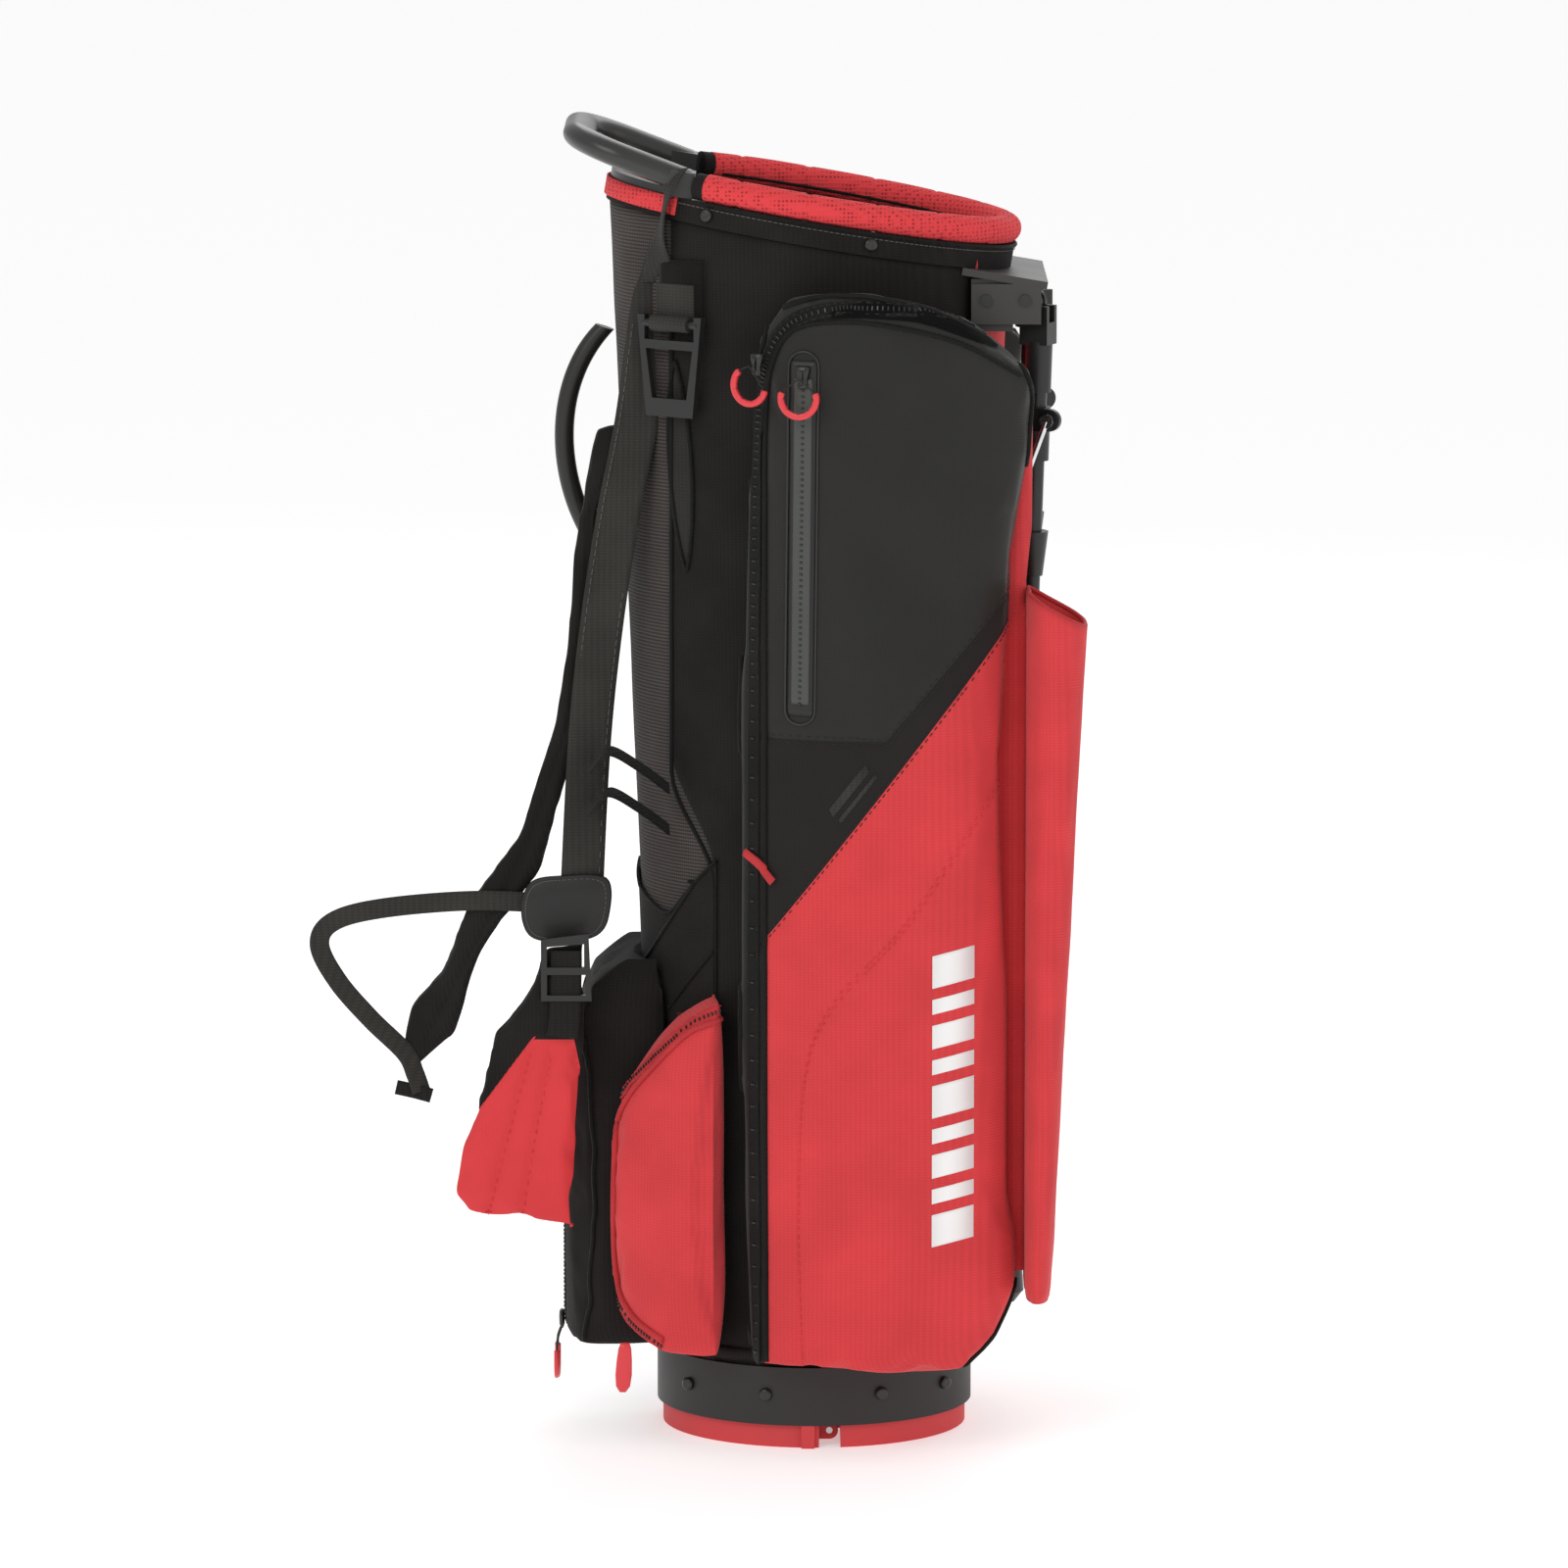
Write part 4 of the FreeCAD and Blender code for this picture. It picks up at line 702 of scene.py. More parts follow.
def padding(name, nodes, material, voxel=0.005, shrink=0.004, cap=0.0045, wrinkle=0.0012, seed=0.0,
            subdivide=1, split=None):
    """A padded copy of a node: remeshed, blown up as cloth within a cap, and slightly creased."""
    data = joined_copy(name, nodes, split)
    piece = bpy.data.objects.new(name, data)
    bpy.context.scene.collection.objects.link(piece)
    data.materials.clear()
    data.materials.append(MATERIALS[material])
    clean = bmesh.new()
    clean.from_mesh(data)
    bmesh.ops.remove_doubles(clean, verts=clean.verts, dist=0.00005)
    bmesh.ops.recalc_face_normals(clean, faces=clean.faces)
    clean.to_mesh(data)
    clean.free()
    activate(piece)
    remesh = piece.modifiers.new("Remesh", "REMESH")
    remesh.mode = "VOXEL"
    remesh.voxel_size = voxel
    bpy.ops.object.modifier_apply(modifier=remesh.name)
    soften = piece.modifiers.new("Soften", "SMOOTH")
    soften.factor = 0.6
    soften.iterations = 6
    bpy.ops.object.modifier_apply(modifier=soften.name)
    for vertex, normal in [(v, v.normal.copy()) for v in piece.data.vertices]:
        vertex.co -= normal * shrink
    start = [v.co.copy() for v in piece.data.vertices]
    cloth = piece.modifiers.new("Cloth", "CLOTH")
    settings = cloth.settings
    settings.quality = 5
    settings.use_pressure = True
    settings.uniform_pressure_force = PRESSURE
    settings.effector_weights.gravity = 0
    settings.tension_stiffness = 8
    settings.bending_stiffness = 0.3
    cloth.point_cache.frame_start = 1
    cloth.point_cache.frame_end = LAST_FRAME
    for number in range(1, LAST_FRAME + 1):
        bpy.context.scene.frame_set(number)
    activate(piece)
    bpy.ops.object.modifier_apply(modifier=cloth.name)
    bpy.context.scene.frame_set(1)
    for vertex, rest in zip(piece.data.vertices, start):
        move = vertex.co - rest
        if move.length > cap:
            vertex.co = rest + move.normalized() * cap
    piece.data.update()
    for vertex, normal in [(v, v.normal.copy()) for v in piece.data.vertices]:
        point = vertex.co
        fold = noise.noise(Vector((point.x * 9 + seed, point.y * 9, point.z * 6)))
        fold += 0.5 * noise.noise(Vector((point.x * 26, point.y * 26 + seed, point.z * 17)))
        vertex.co -= normal * wrinkle * max(0.0, fold + 0.2)
    if subdivide:
        more = piece.modifiers.new("Subdivision", "SUBSURF")
        more.levels = subdivide
        more.render_levels = subdivide
        bpy.ops.object.modifier_apply(modifier=more.name)
    for face in piece.data.polygons:
        face.use_smooth = True
    return piece


def press(piece, path, plane, depth, width, facing=None):
    """A sewn crease: the skin pulled in along a path given in two axes of the plane."""
    a, b = plane
    path = [(p[0], p[1]) for p in path]
    for vertex, normal in [(v, v.normal.copy()) for v in piece.data.vertices]:
        if facing is not None and normal.dot(Vector(facing)) < 0.25:
            continue
        u, v = vertex.co[a], vertex.co[b]
        near = 1.0
        for (x0, y0), (x1, y1) in zip(path, path[1:]):
            dx, dy = x1 - x0, y1 - y0
            t = max(0.0, min(1.0, ((u - x0) * dx + (v - y0) * dy) / max(1e-9, dx * dx + dy * dy)))
            near = min(near, math.hypot(u - x0 - dx * t, v - y0 - dy * t))
            if near < 0.0002:
                break
        if near < width:
            vertex.co -= normal * depth * (1 - near / width) ** 2
    piece.data.update()


# ------------------------------------------------------------------ seams, in metres
def mm(*points):
    """Side-view points, given in millimetres."""
    return [(x * MM, z * MM) for x, z in points]


def side_points(flat, y, count=60, closed=False):
    """A smooth line given in side view, at one y."""
    return smooth_path([(x, y, z) for x, z in flat], count, closed)


POCKET_EDGE = mm((-42, 66), (-48, 200), (-49, 400), (-49, 540), (-45, 660), (-35, 750), (-17, 782), (40, 787),
                 (94, 770), (138, 736), (141, 690), (133, 613), (127, 478), (132, 310), (134, 180), (137, 145),
                 (134, 118), (121, 88), (100, 66))
FACE_EDGE = mm((-32, 68), (-33, 250), (-33, 480), (-33, 640), (-32, 712), (-27, 746), (-14, 766), (14, 772), (52, 769),
               (96, 757), (136, 734))
PANEL_EDGE = mm((-38, 493), (20, 493), (47, 493), (60, 508), (128, 587))
COLOR_EDGE = mm((-41, 346), (-20, 374), (44, 457), (108, 540), (128, 566))
SECOND_EDGE = mm((129, 470), (63, 372), (12, 314), (-7, 262), (-11, 163), (-8, 68))
ZIP_EDGE = mm((-39, 66), (-41, 250), (-41, 480), (-40, 600), (-38, 690), (-33, 738), (-22, 764), (-2, 777), (30, 781),
              (74, 778), (112, 763), (136, 742))
BALL_EDGE = mm((-63, 312), (-80, 302), (-108, 276), (-134, 240), (-141, 205), (-141, 118), (-130, 86), (-104, 68))
RED_EDGE = mm((-63, 300), (-84, 290), (-108, 264), (-128, 234), (-134, 200), (-134, 120), (-124, 92), (-102, 77))
SEAMS = (("panel_seam", PANEL_EDGE, "black_thread"), ("color_seam", COLOR_EDGE, "black_thread"),
         ("lower_seam", SECOND_EDGE, "red_thread"))

class BAG_OT_materials(bpy.types.Operator):
    """Make every cloth, plastic, rubber and metal finish"""
    bl_idname = "stand_bag.materials"
    bl_label = "Finishes"

    def execute(self, context):
        make_materials()
        return {"FINISHED"}


FINISHES = {
    "base_black": ("base_cup",),
    "red_rubber": ("rear_sole", "foot_plate"),
    "bare_steel": ("foot_hinge_pin", "leg_pivot_pin_near", "leg_pivot_pin_far", "ear_rivet_near",
                   "ear_rivet_far"),
    "black_plastic": ("collar_frame", "utility_hook", "leg_clevis_near", "leg_clevis_far",
                      "leg_clamp_near", "leg_clamp_far", "pad_buckle"),
    "black_cloth": ("collar_band", "cuff_trims"),
    "rod_white": ("stay_rods",),
    "handle_grey": ("lift_handle",),
    "grey_plastic": ("stand_housing",),
    "leg_enamel": ("leg_tube_near", "leg_tube_far"),
    "black_rubber": ("leg_sleeve_near", "leg_sleeve_far", "leg_foot_near", "leg_foot_far", "grab_handle"),
    "bright_wire": ("actuator_rod", "yoke", "bow_arm_near", "bow_arm_far"),
    "webbing": ("hook_webbing",),
    "black_metal": ("housing_screws",),
}


class BAG_OT_frame_finishes(bpy.types.Operator):
    """Give the rigid parts of the frame their finishes"""
    bl_idname = "stand_bag.frame_finishes"
    bl_label = "Rigid parts"

    def execute(self, context):
        for finish, nodes in FINISHES.items():
            for node in nodes:
                piece = NODES[node]
                for number in range(len(piece.data.materials)):
                    piece.data.materials[number] = MATERIALS[finish]
        return {"FINISHED"}


def mesh_edge(z):
    """The angle round the tube where the spine mesh ends: far back high up, further forward low down."""
    share = max(0.0, min(1.0, (z - 0.385) / 0.075))
    return split_angle(-0.068 - 0.029 * share * share * (3 - 2 * share), z)


class BAG_OT_walls(bpy.types.Operator):
    """Sew the four cloth panels of the bag tube with their seams"""
    bl_idname = "stand_bag.walls"
    bl_label = "Tube walls"

    def execute(self, context):
        low = TUBE_LOW
        spine = wall_panel("spine_mesh", mesh_edge, lambda z: math.tau - mesh_edge(z), low, "grey_mesh",
                           seed=3.0, across=28)
        place(spine, "bag", "mesh_grey", "spine_panel")
        near = wall_panel("near_wall", lambda z: -mesh_edge(z), lambda z: -FRONT_EDGE, low,
                          "black_cloth", seed=5.0)
        place(near, "bag", "black_cloth", "near_panel")
        far = wall_panel("far_wall", lambda z: FRONT_EDGE, mesh_edge, low,
                         "black_cloth", seed=7.0)
        place(far, "bag", "black_cloth", "far_panel")
        for number, sign in ((1, -1), (2, 1)):
            half = wall_panel("front_wall_%d" % number, (lambda z, s=sign: s * FRONT_EDGE),
                              (lambda z, s=sign: s * math.asin(min(1.0, 0.0056 / 0.09))), low, "red_cloth",
                              seed=9.0 + number, across=14)
            place(half, "bag", "red_cloth", "front_panel")
        for number, (start, stop) in enumerate(((low, 0.630), (0.686, 0.800))):
            strip = wall_panel("front_strip_%d" % (number + 1), lambda z: -0.064, lambda z: 0.064, start,
                               "red_cloth", inner=-0.0026, outer=-0.0002, wrinkle=0.0, across=6, high=stop)
            place(strip, "bag", "red_cloth")
        self.seams()
        return {"FINISHED"}

    def seams(self):
        heights = [0.062 + 0.745 * k / 90 for k in range(91)]
        for label, sign in (("near", -1), ("far", 1)):
            corded("spine_piping_" + label, [wall(sign * mesh_edge(z), z, 0.0006) for z in heights], 0.0016)
            corded("front_piping_" + label, [wall(sign * FRONT_EDGE, z, 0.0006) for z in heights], 0.0016,
                   "red_tape")
        self.slit()
        self.gusset()
        self.pile_patch()

    def slit(self):
        """The leaf-shaped slit that the straps pass through, with its bound edge."""
        edge = []
        for k in range(56):
            t = math.tau * k / 56
            wide = 0.0075 * math.cos(t) * (0.35 + 0.65 * abs(math.cos(t)))
            edge.append((-0.0905 + wide - 0.004 * math.sin(t), 0.668 + 0.070 * math.sin(t)))
        corded("strap_slit_binding", [wall_spot(x, z, 0.0010) for x, z in edge], 0.0015, closed=True)
        verts = []
        for k in range(29):
            (xa, za), (xb, zb) = edge[(14 + k) % 56], edge[(14 - k) % 56]
            for share in (0, 0.33, 0.67, 1):
                verts.append(wall_spot(xa + (xb - xa) * share, za + (zb - za) * share,
                                       0.0009 - 0.0007 * math.sin(math.pi * share)))
        place(make("strap_slit_opening", verts, grid_faces(28, 3), "inner_cloth"), "bag", "black_cloth")

    def gusset(self):
        """The black cloth over the lower spine mesh, with its corded seams."""
        top = mm((-138, 388), (-124, 378), (-110, 366), (-98, 362), (-86, 378), (-76, 391), (-66, 402))
        top = [(p.x, p.z) for p in side_points(top, 0, 40)]
        verts, rows, columns = [], 26, 39
        for grow in (0.0016, 0.0004):
            for i in range(rows + 1):
                for x, z_top in top:
                    z = 0.286 + (z_top - 0.286) * i / rows
                    crease = 0.0006 * noise.noise(Vector((x * 40, z * 22, 6.0))) if grow > 0.001 else 0.0
                    if x > -0.118:
                        angle = (-split_angle(max(x, -0.1255 + 0.05 * max(0.0, 0.4 - z)), z)
                                 - 0.0001 * (x + 0.14))
                    else:
                        angle = -split_angle(-0.118, z) - (-0.118 - x) * 16
                    verts.append(wall(angle, z, grow + crease))
        cloth = make("lower_gusset", verts, shell_faces(rows, columns), "black_cloth")
        place(cloth, "bag", "black_cloth")
        corded("gusset_cord_top", verts[rows * (columns + 1):(rows + 1) * (columns + 1)], 0.0013)
        tree = surface_of(cloth)
        for number, flat in ((1, mm((-77, 392), (-100, 352), (-122, 310), (-132, 292))),
                             (2, mm((-68, 340), (-84, 318), (-98, 296)))):
            laid, _ = drape(tree, side_points(flat, 0, 40), NEAR, 0.0005)
            corded("gusset_cord_%d" % number, laid, 0.0013)

    def pile_patch(self):
        """The patch of pile that a glove is pressed on."""
        rows, columns = 14, 12
        verts = []
        for layer in (0.0022, 0.0003):
            for i in range(rows + 1):
                for k in range(columns + 1):
                    x, z = -0.104 + 0.030 * k / columns, 0.764 + 0.042 * i / rows
                    fuzz = 0.0005 * noise.noise(Vector((x * 900, z * 900, 2.0))) if layer > 0.001 else 0.0
                    verts.append(wall_spot(x, z, layer + fuzz))
        place(make("glove_patch", verts, shell_faces(rows, columns), "pile"), "bag", "black_cloth")


def rim_point(angle, a, b, w):
    """A point in the tilted plane of the rim, turned into the bag's frame."""
    bag = sizes()
    x, y = a * math.cos(angle), b * math.sin(angle)
    return Vector((x * math.cos(bag.tilt) + w * math.sin(bag.tilt), y,
                   bag.rim_z - x * math.sin(bag.tilt) + w * math.cos(bag.tilt)))


DOME = ((-0.0012, 0.0042), (0.0010, 0.0045), (0.0020, 0.0040), (0.0026, 0.0027), (0.0022, 0.0012))


class BAG_OT_cuff(bpy.types.Operator):
    """Pad the mesh cuff round the mouth and its trims"""
    bl_idname = "stand_bag.cuff"
    bl_label = "Mouth cuff"

    def execute(self, context):
        bag = sizes()
        reach = math.acos(-0.072 / 0.1315)
        up = Vector((math.sin(bag.tilt), 0, math.cos(bag.tilt)))
        verts, count, ring = [], 260, 28
        for i in range(count + 1):
            angle = -reach + 2 * reach * i / count
            centre = rim_point(angle, 0.1315, 0.0975, 0)
            ahead = rim_point(angle + 0.01, 0.1315, 0.0975, 0) - centre
            out = ahead.normalized().cross(up)
            for k in range(ring):
                t = math.tau * k / ring
                pinch = 1.0 - 0.10 * math.exp(-((angle * 6.0 / reach) % 1.0 - 0.5) ** 2 / 0.0012)
                seam = 1.0 - 0.07 * math.exp(-((t - math.pi * 1.6 + math.pi) % math.tau - math.pi) ** 2 / 0.02)
                soft = 1.0 + 0.03 * noise.noise(Vector((angle * 3, math.cos(t), math.sin(t))))
                r = 0.0093 * pinch * seam * soft
                verts.append(centre + out * math.cos(t) * r + up * math.sin(t) * r * 1.02)
        cuff = make("mouth_cuff", verts, ring_faces(count + 1, ring), "red_mesh")
        place(cuff, "bag", "red_mesh", "cuff_roll")
        for name, a, b, w, radius in (("cuff_lower_binding", 0.1385, 0.1046, -0.0098, 0.0014),
                                      ("cuff_inner_binding", 0.1235, 0.0895, -0.004, 0.0012)):
            line = [rim_point(-reach * 0.98 + 2 * reach * 0.98 * k / 160, a, b, w) for k in range(161)]
            corded(name, line, radius)
        stitches = []
        for k in range(230):
            angle = -math.pi + math.tau * k / 230
            at = rim_point(angle, 0.1384, 0.1043, -0.0128)
            ahead = rim_point(angle + 0.01, 0.1384, 0.1043, -0.0128)
            stitches.append((at, ahead - at, Vector((math.cos(angle), math.sin(angle), 0))))
        place(blocks("collar_stitches", stitches, STITCH, "pale_thread"), "bag", "black_cloth")
        self.skirt()
        self.rivets()
        return {"FINISHED"}

    def skirt(self):
        """The red cloth that wraps the spine below the handle."""
        reach, count = 0.66, 60
        verts = []
        for grow in (0.0016, 0.0003):
            for w in (-0.0095, -0.0135, -0.0175, -0.0215):
                for k in range(count + 1):
                    angle = math.pi - reach * 1.3 + 2.6 * reach * k / count
                    verts.append(rim_point(angle, 0.1384 + grow, 0.1044 + grow, w))
        place(make("spine_skirt", verts, shell_faces(3, count), "red_mesh"), "bag", "red_mesh")

    def rivets(self):
        """Domed heads in place of the plain ones."""
        for node in ("collar_rivets", "base_rivets"):
            merged = bmesh.new()
            merged.from_mesh(NODES[node].data)
            bmesh.ops.remove_doubles(merged, verts=merged.verts, dist=0.00002)
            heads, seen = [], set()
            for first in merged.verts:
                if first in seen:
                    continue
                group, wait = [], [first]
                seen.add(first)
                while wait:
                    vertex = wait.pop()
                    group.append(vertex.co.copy())
                    for edge in vertex.link_edges:
                        other = edge.other_vert(vertex)
                        if other not in seen:
                            seen.add(other)
                            wait.append(other)
                heads.append(sum(group, Vector()) / len(group))
            merged.free()
            verts, faces = [], []
            for centre in heads:
                out = Vector((centre.x / 1.3, centre.y * 1.3, 0)).normalized()
                side = Vector((-out.y, out.x, 0))
                faces += ring_faces(len(DOME), 20, first=len(verts))
                for h, r in DOME:
                    verts += [centre + out * h + side * x * r + UP * y * r for x, y in circle(20)]
            place(make("domed_" + node, verts, faces, "black_metal"), "bag", "rivet", node)


class BAG_OT_dividers(bpy.types.Operator):
    """Cover the bars and sheets that part the clubs"""
    bl_idname = "stand_bag.dividers"
    bl_label = "Club dividers"

    def execute(self, context):
        for node, seed in (("divider_bar_rear", 1.0), ("divider_bar_front", 2.0), ("divider_bar_long", 3.0)):
            cover = padding(node.replace("divider_bar", "padded_bar"), (node,), "bar_cover", voxel=0.0022,
                            shrink=0.0010, cap=0.0012, wrinkle=0.0006, seed=seed, subdivide=0)
            place(cover, "bag", "grey_plastic", node)
        sheets = joined_copy("divider_cloths", ("divider_sheets",))
        piece = bpy.data.objects.new("divider_cloths", sheets)
        context.scene.collection.objects.link(piece)
        sheets.materials.clear()
        sheets.materials.append(MATERIALS["inner_cloth"])
        place(piece, "bag", "black_cloth", "divider_sheets")
        return {"FINISHED"}


def mark(name, tree, polygons, finish, lift=0.0004):
    """Flat printed shapes laid on the side of a pocket, each a grid that follows its surface."""
    verts, faces = [], []
    for corners in polygons:
        steps = 10
        faces += grid_faces(steps, 2, len(verts))
        a, b, c, d = [Vector((x, 0, z)) for x, z in corners]
        for i in range(steps + 1):
            for k in range(3):
                low, high = a.lerp(b, k / 2), d.lerp(c, k / 2)
                verts.append(onto(tree, low.lerp(high, i / steps), NEAR, lift)[0])
    piece = make(name, verts, faces, finish)
    thicken(piece, 0.0003)
    return place(piece, "bag", "red_cloth")


def press_seams(pocket, facing):
    for edge, depth in ((FACE_EDGE, 0.0012), (PANEL_EDGE, 0.0008), (COLOR_EDGE, 0.0009), (SECOND_EDGE, 0.001)):
        path = [(p.x, p.z) for p in side_points(edge, 0, 40)]
        press(pocket, path, (0, 2), depth, 0.008, facing=facing)


def trim_pocket(names, tree, direction):
    """The two pipings and the long zip of a side pocket."""
    outer, inner, zipped = names
    piping(outer, tree, side_points(POCKET_EDGE, 0, 150), 0.0019, "black_tape", direction)
    piping(inner, tree, side_points(FACE_EDGE, 0, 110), 0.0016, "black_tape", direction)
    zip_fastener(zipped, tree, side_points(ZIP_EDGE, 0, 150), 0.0105, "black_tape", direction, tooth=0.0036)


class BAG_OT_near_pocket(bpy.types.Operator):
    """Stuff and trim the long clothing pocket on the near side"""
    bl_idname = "stand_bag.near_pocket"
    bl_label = "Clothing pocket"

    def execute(self, context):
        pocket = padding("clothing_pocket", ("near_pocket", "near_pocket_top"), "pocket_cloth", seed=4.0,
                         split=0.478)
        press_seams(pocket, FAR)
        place(pocket, "bag", "red_cloth", "near_pocket", "near_pocket_top")
        tree = surface_of(pocket)
        trim_pocket(("clothing_piping", "clothing_face_piping", "clothing_zip"), tree, NEAR)
        for name, edge, finish in SEAMS:
            for number, shift in ((1, -0.0022), (2, 0.0022)):
                line = [Vector((p.x, 0, p.z + shift)) for p in side_points(edge, 0, 90)]
                laid, normals = drape(tree, line, NEAR, 0.0002)
                sewn("%s_stitch_%d" % (name, number), laid, normals, finish, "red_cloth")
        self.paint_mouth_shade(tree)
        self.welt(tree)
        self.marks(tree)
        return {"FINISHED"}

    def paint_mouth_shade(self, tree):
        """Painted shade: a near-black sheet laid in the unzipped stretch under the top zip, standing in for the shadow
        inside the open mouth.
        """
        low = mm((6, 774), (32, 774.5), (70, 771), (120, 752))
        high = mm((6, 776), (34, 785), (76, 781), (120, 756))
        lower, upper = side_points(low, 0, 30), side_points(high, 0, 30)
        verts = [onto(tree, p.lerp(q, share), NEAR, 0.0012)[0]
                 for p, q in zip(lower, upper) for share in (0, 0.25, 0.5, 0.75, 1)]
        # painted shade: this near-black sheet stands in for the shadow inside the open pocket
        place(make("clothing_mouth_shade", verts, grid_faces(29, 4), "painted_shade_black"), "bag", "black_cloth")

    def welt(self, tree):
        """The glued welt of the small valuables pocket with its zip."""
        half, low, high = 0.0098, 0.503, 0.752
        outline = []
        for first, middle in ((0.0, high - half), (math.pi, low + half)):
            for k in range(13):
                t = first + math.pi * k / 12
                outline.append((half * math.cos(t), middle + half * math.sin(t)))
        dense = []
        for a, b in zip(outline, outline[1:] + outline[:1]):
            pieces = max(1, int(math.hypot(b[0] - a[0], b[1] - a[1]) / 0.006))
            dense += [(a[0] + (b[0] - a[0]) * j / pieces, a[1] + (b[1] - a[1]) * j / pieces)
                      for j in range(pieces)]
        lean = (lambda z: -0.0075 - 0.0105 * (high - z))
        edge = [Vector((x + lean(z), 0, z)) for x, z in dense]
        laid, _ = drape(tree, edge, NEAR, 0.0005)
        corded("valuables_welt_edge", laid, 0.0009, "black_rubber", "black_plastic", closed=True)
        line = [Vector((lean(z), 0, z)) for z in [0.509 + 0.237 * k / 60 for k in range(61)]]
        laid, normals = drape(tree, line, NEAR, 0.0004)
        across = [n.cross(UP) for n in normals]
        place(ribbon("valuables_welt", laid, across, 0.0185, 0.0009, "soft_patch"), "bag", "black_cloth")
        laid, normals = drape(tree, line[2:-3], NEAR, 0.0011)
        place(ribbon("valuables_zip_tape", laid, across[2:-3], 0.0125, 0.0008, "welt_grey"), "bag",
              "black_cloth")
        spots = [(p + n * 0.0003, a, n) for p, n, a in zip(laid, normals, across)]
        place(blocks("valuables_zip_teeth", spots, (0.0022, 0.0016, 0.0007), "black_metal"), "bag", "zip_metal")

    def marks(self, tree):
        """Plain printed bars low on the pocket, and a small sewn tab."""
        bars, z = [], 0.150
        for length in (0.022, 0.010, 0.016, 0.010, 0.022, 0.010, 0.016, 0.010, 0.022):
            bars.append(mm((78, z / MM), (106, z / MM + 6), (106, z / MM + 6 + length / MM),
                           (78, z / MM + length / MM)))
            z += length + 0.0075
        mark("printed_bars", tree, bars, "white_ink")
        mark("printed_stripe", tree, [mm((12, 442), (36, 473), (33, 478), (9, 447)),
                                      mm((17, 438), (41, 469), (39.5, 471.5), (15.5, 440.5))], "webbing")
        tab = side_points(mm((-45, 414), (-36, 407), (-27, 396)), 0, 14)
        laid, normals = drape(tree, tab, NEAR, 0.0026)
        across = [n.cross(Vector((0.7, 0, -0.7))) for n in normals]
        place(ribbon("side_tab", laid, across, 0.0062, 0.0022, "red_tape", crown=0.0005), "bag", "red_cloth")


class BAG_OT_far_pocket(bpy.types.Operator):
    """Stuff and trim the matching pocket on the far side"""
    bl_idname = "stand_bag.far_pocket"
    bl_label = "Far side pocket"

    def execute(self, context):
        pocket = padding("far_side_pocket", ("far_pocket", "far_pocket_top"), "pocket_cloth", seed=14.0,
                         split=0.478)
        press_seams(pocket, NEAR)
        place(pocket, "bag", "black_cloth", "far_pocket", "far_pocket_top")
        tree = surface_of(pocket)
        trim_pocket(("far_piping", "far_face_piping", "far_zip"), tree, FAR)
        for name, edge, finish in SEAMS:
            laid, normals = drape(tree, side_points(edge, 0, 90), FAR, 0.0002)
            sewn("far_" + name, laid, normals, finish, "red_cloth")
        return {"FINISHED"}


class BAG_OT_ball_pocket(bpy.types.Operator):
    """Stuff and trim the ball pocket low on the near side"""
    bl_idname = "stand_bag.ball_pocket"
    bl_label = "Ball pocket"

    def execute(self, context):
        pocket = padding("ball_pouch", ("ball_pocket",), "red_cloth", seed=24.0)
        path = [(p.x, p.z) for p in side_points(RED_EDGE, 0, 40)]
        press(pocket, path, (0, 2), 0.001, 0.006, facing=(-0.3, -1, 0))
        place(pocket, "bag", "red_cloth", "ball_pocket")
        tree = surface_of(pocket)
        piping("ball_piping_outer", tree, side_points(BALL_EDGE, 0, 90), 0.0023, "red_tape", lift=0.0012)
        piping("ball_piping_inner", tree, side_points(RED_EDGE, 0, 90), 0.0021, "red_tape", lift=0.0011)
        middle = [((a[0] + b[0]) / 2, (a[1] + b[1]) / 2) for a, b in zip(BALL_EDGE, RED_EDGE)]
        zip_fastener("ball_zip", tree, side_points(middle, 0, 110), 0.0085, "red_tape", slot="red_cloth",
                     tooth=0.0024, thread="red_thread")
        return {"FINISHED"}


class BAG_OT_spine_pocket(bpy.types.Operator):
    """Stuff and trim the narrow pocket on the spine"""
    bl_idname = "stand_bag.spine_pocket"
    bl_label = "Spine pocket"

    def execute(self, context):
        pocket = padding("spine_pouch", ("spine_pocket",), "black_cloth", seed=34.0, cap=0.004)
        place(pocket, "bag", "black_cloth", "spine_pocket")
        tree = surface_of(pocket)
        for number, y in ((1, -0.052), (2, 0.052)):
            line = smooth_path([(-0.2, y, 0.066), (-0.2, y, 0.16), (-0.2, y, 0.255), (-0.2, y * 0.98, 0.30)], 70)
            laid, _ = drape(tree, line, SPINE, 0.0006)
            corded("spine_pouch_piping_%d" % number, laid, 0.0017)
        line = [Vector((-0.2, 0, 0.064 + 0.196 * k / 70)) for k in range(71)]
        zip_fastener("spine_zip", tree, line, 0.016, "black_tape", SPINE)
        return {"FINISHED"}


def hollow_loft(name, sections, thick, finish):
    """An open pouch from closed sections, low to high, with a floor and a thickness inwards."""
    verts = [point for section in sections for point in section]
    piece = make(name, verts, ring_faces(len(sections), len(sections[0]))[:-1], finish)
    thicken(piece, thick)
    return piece


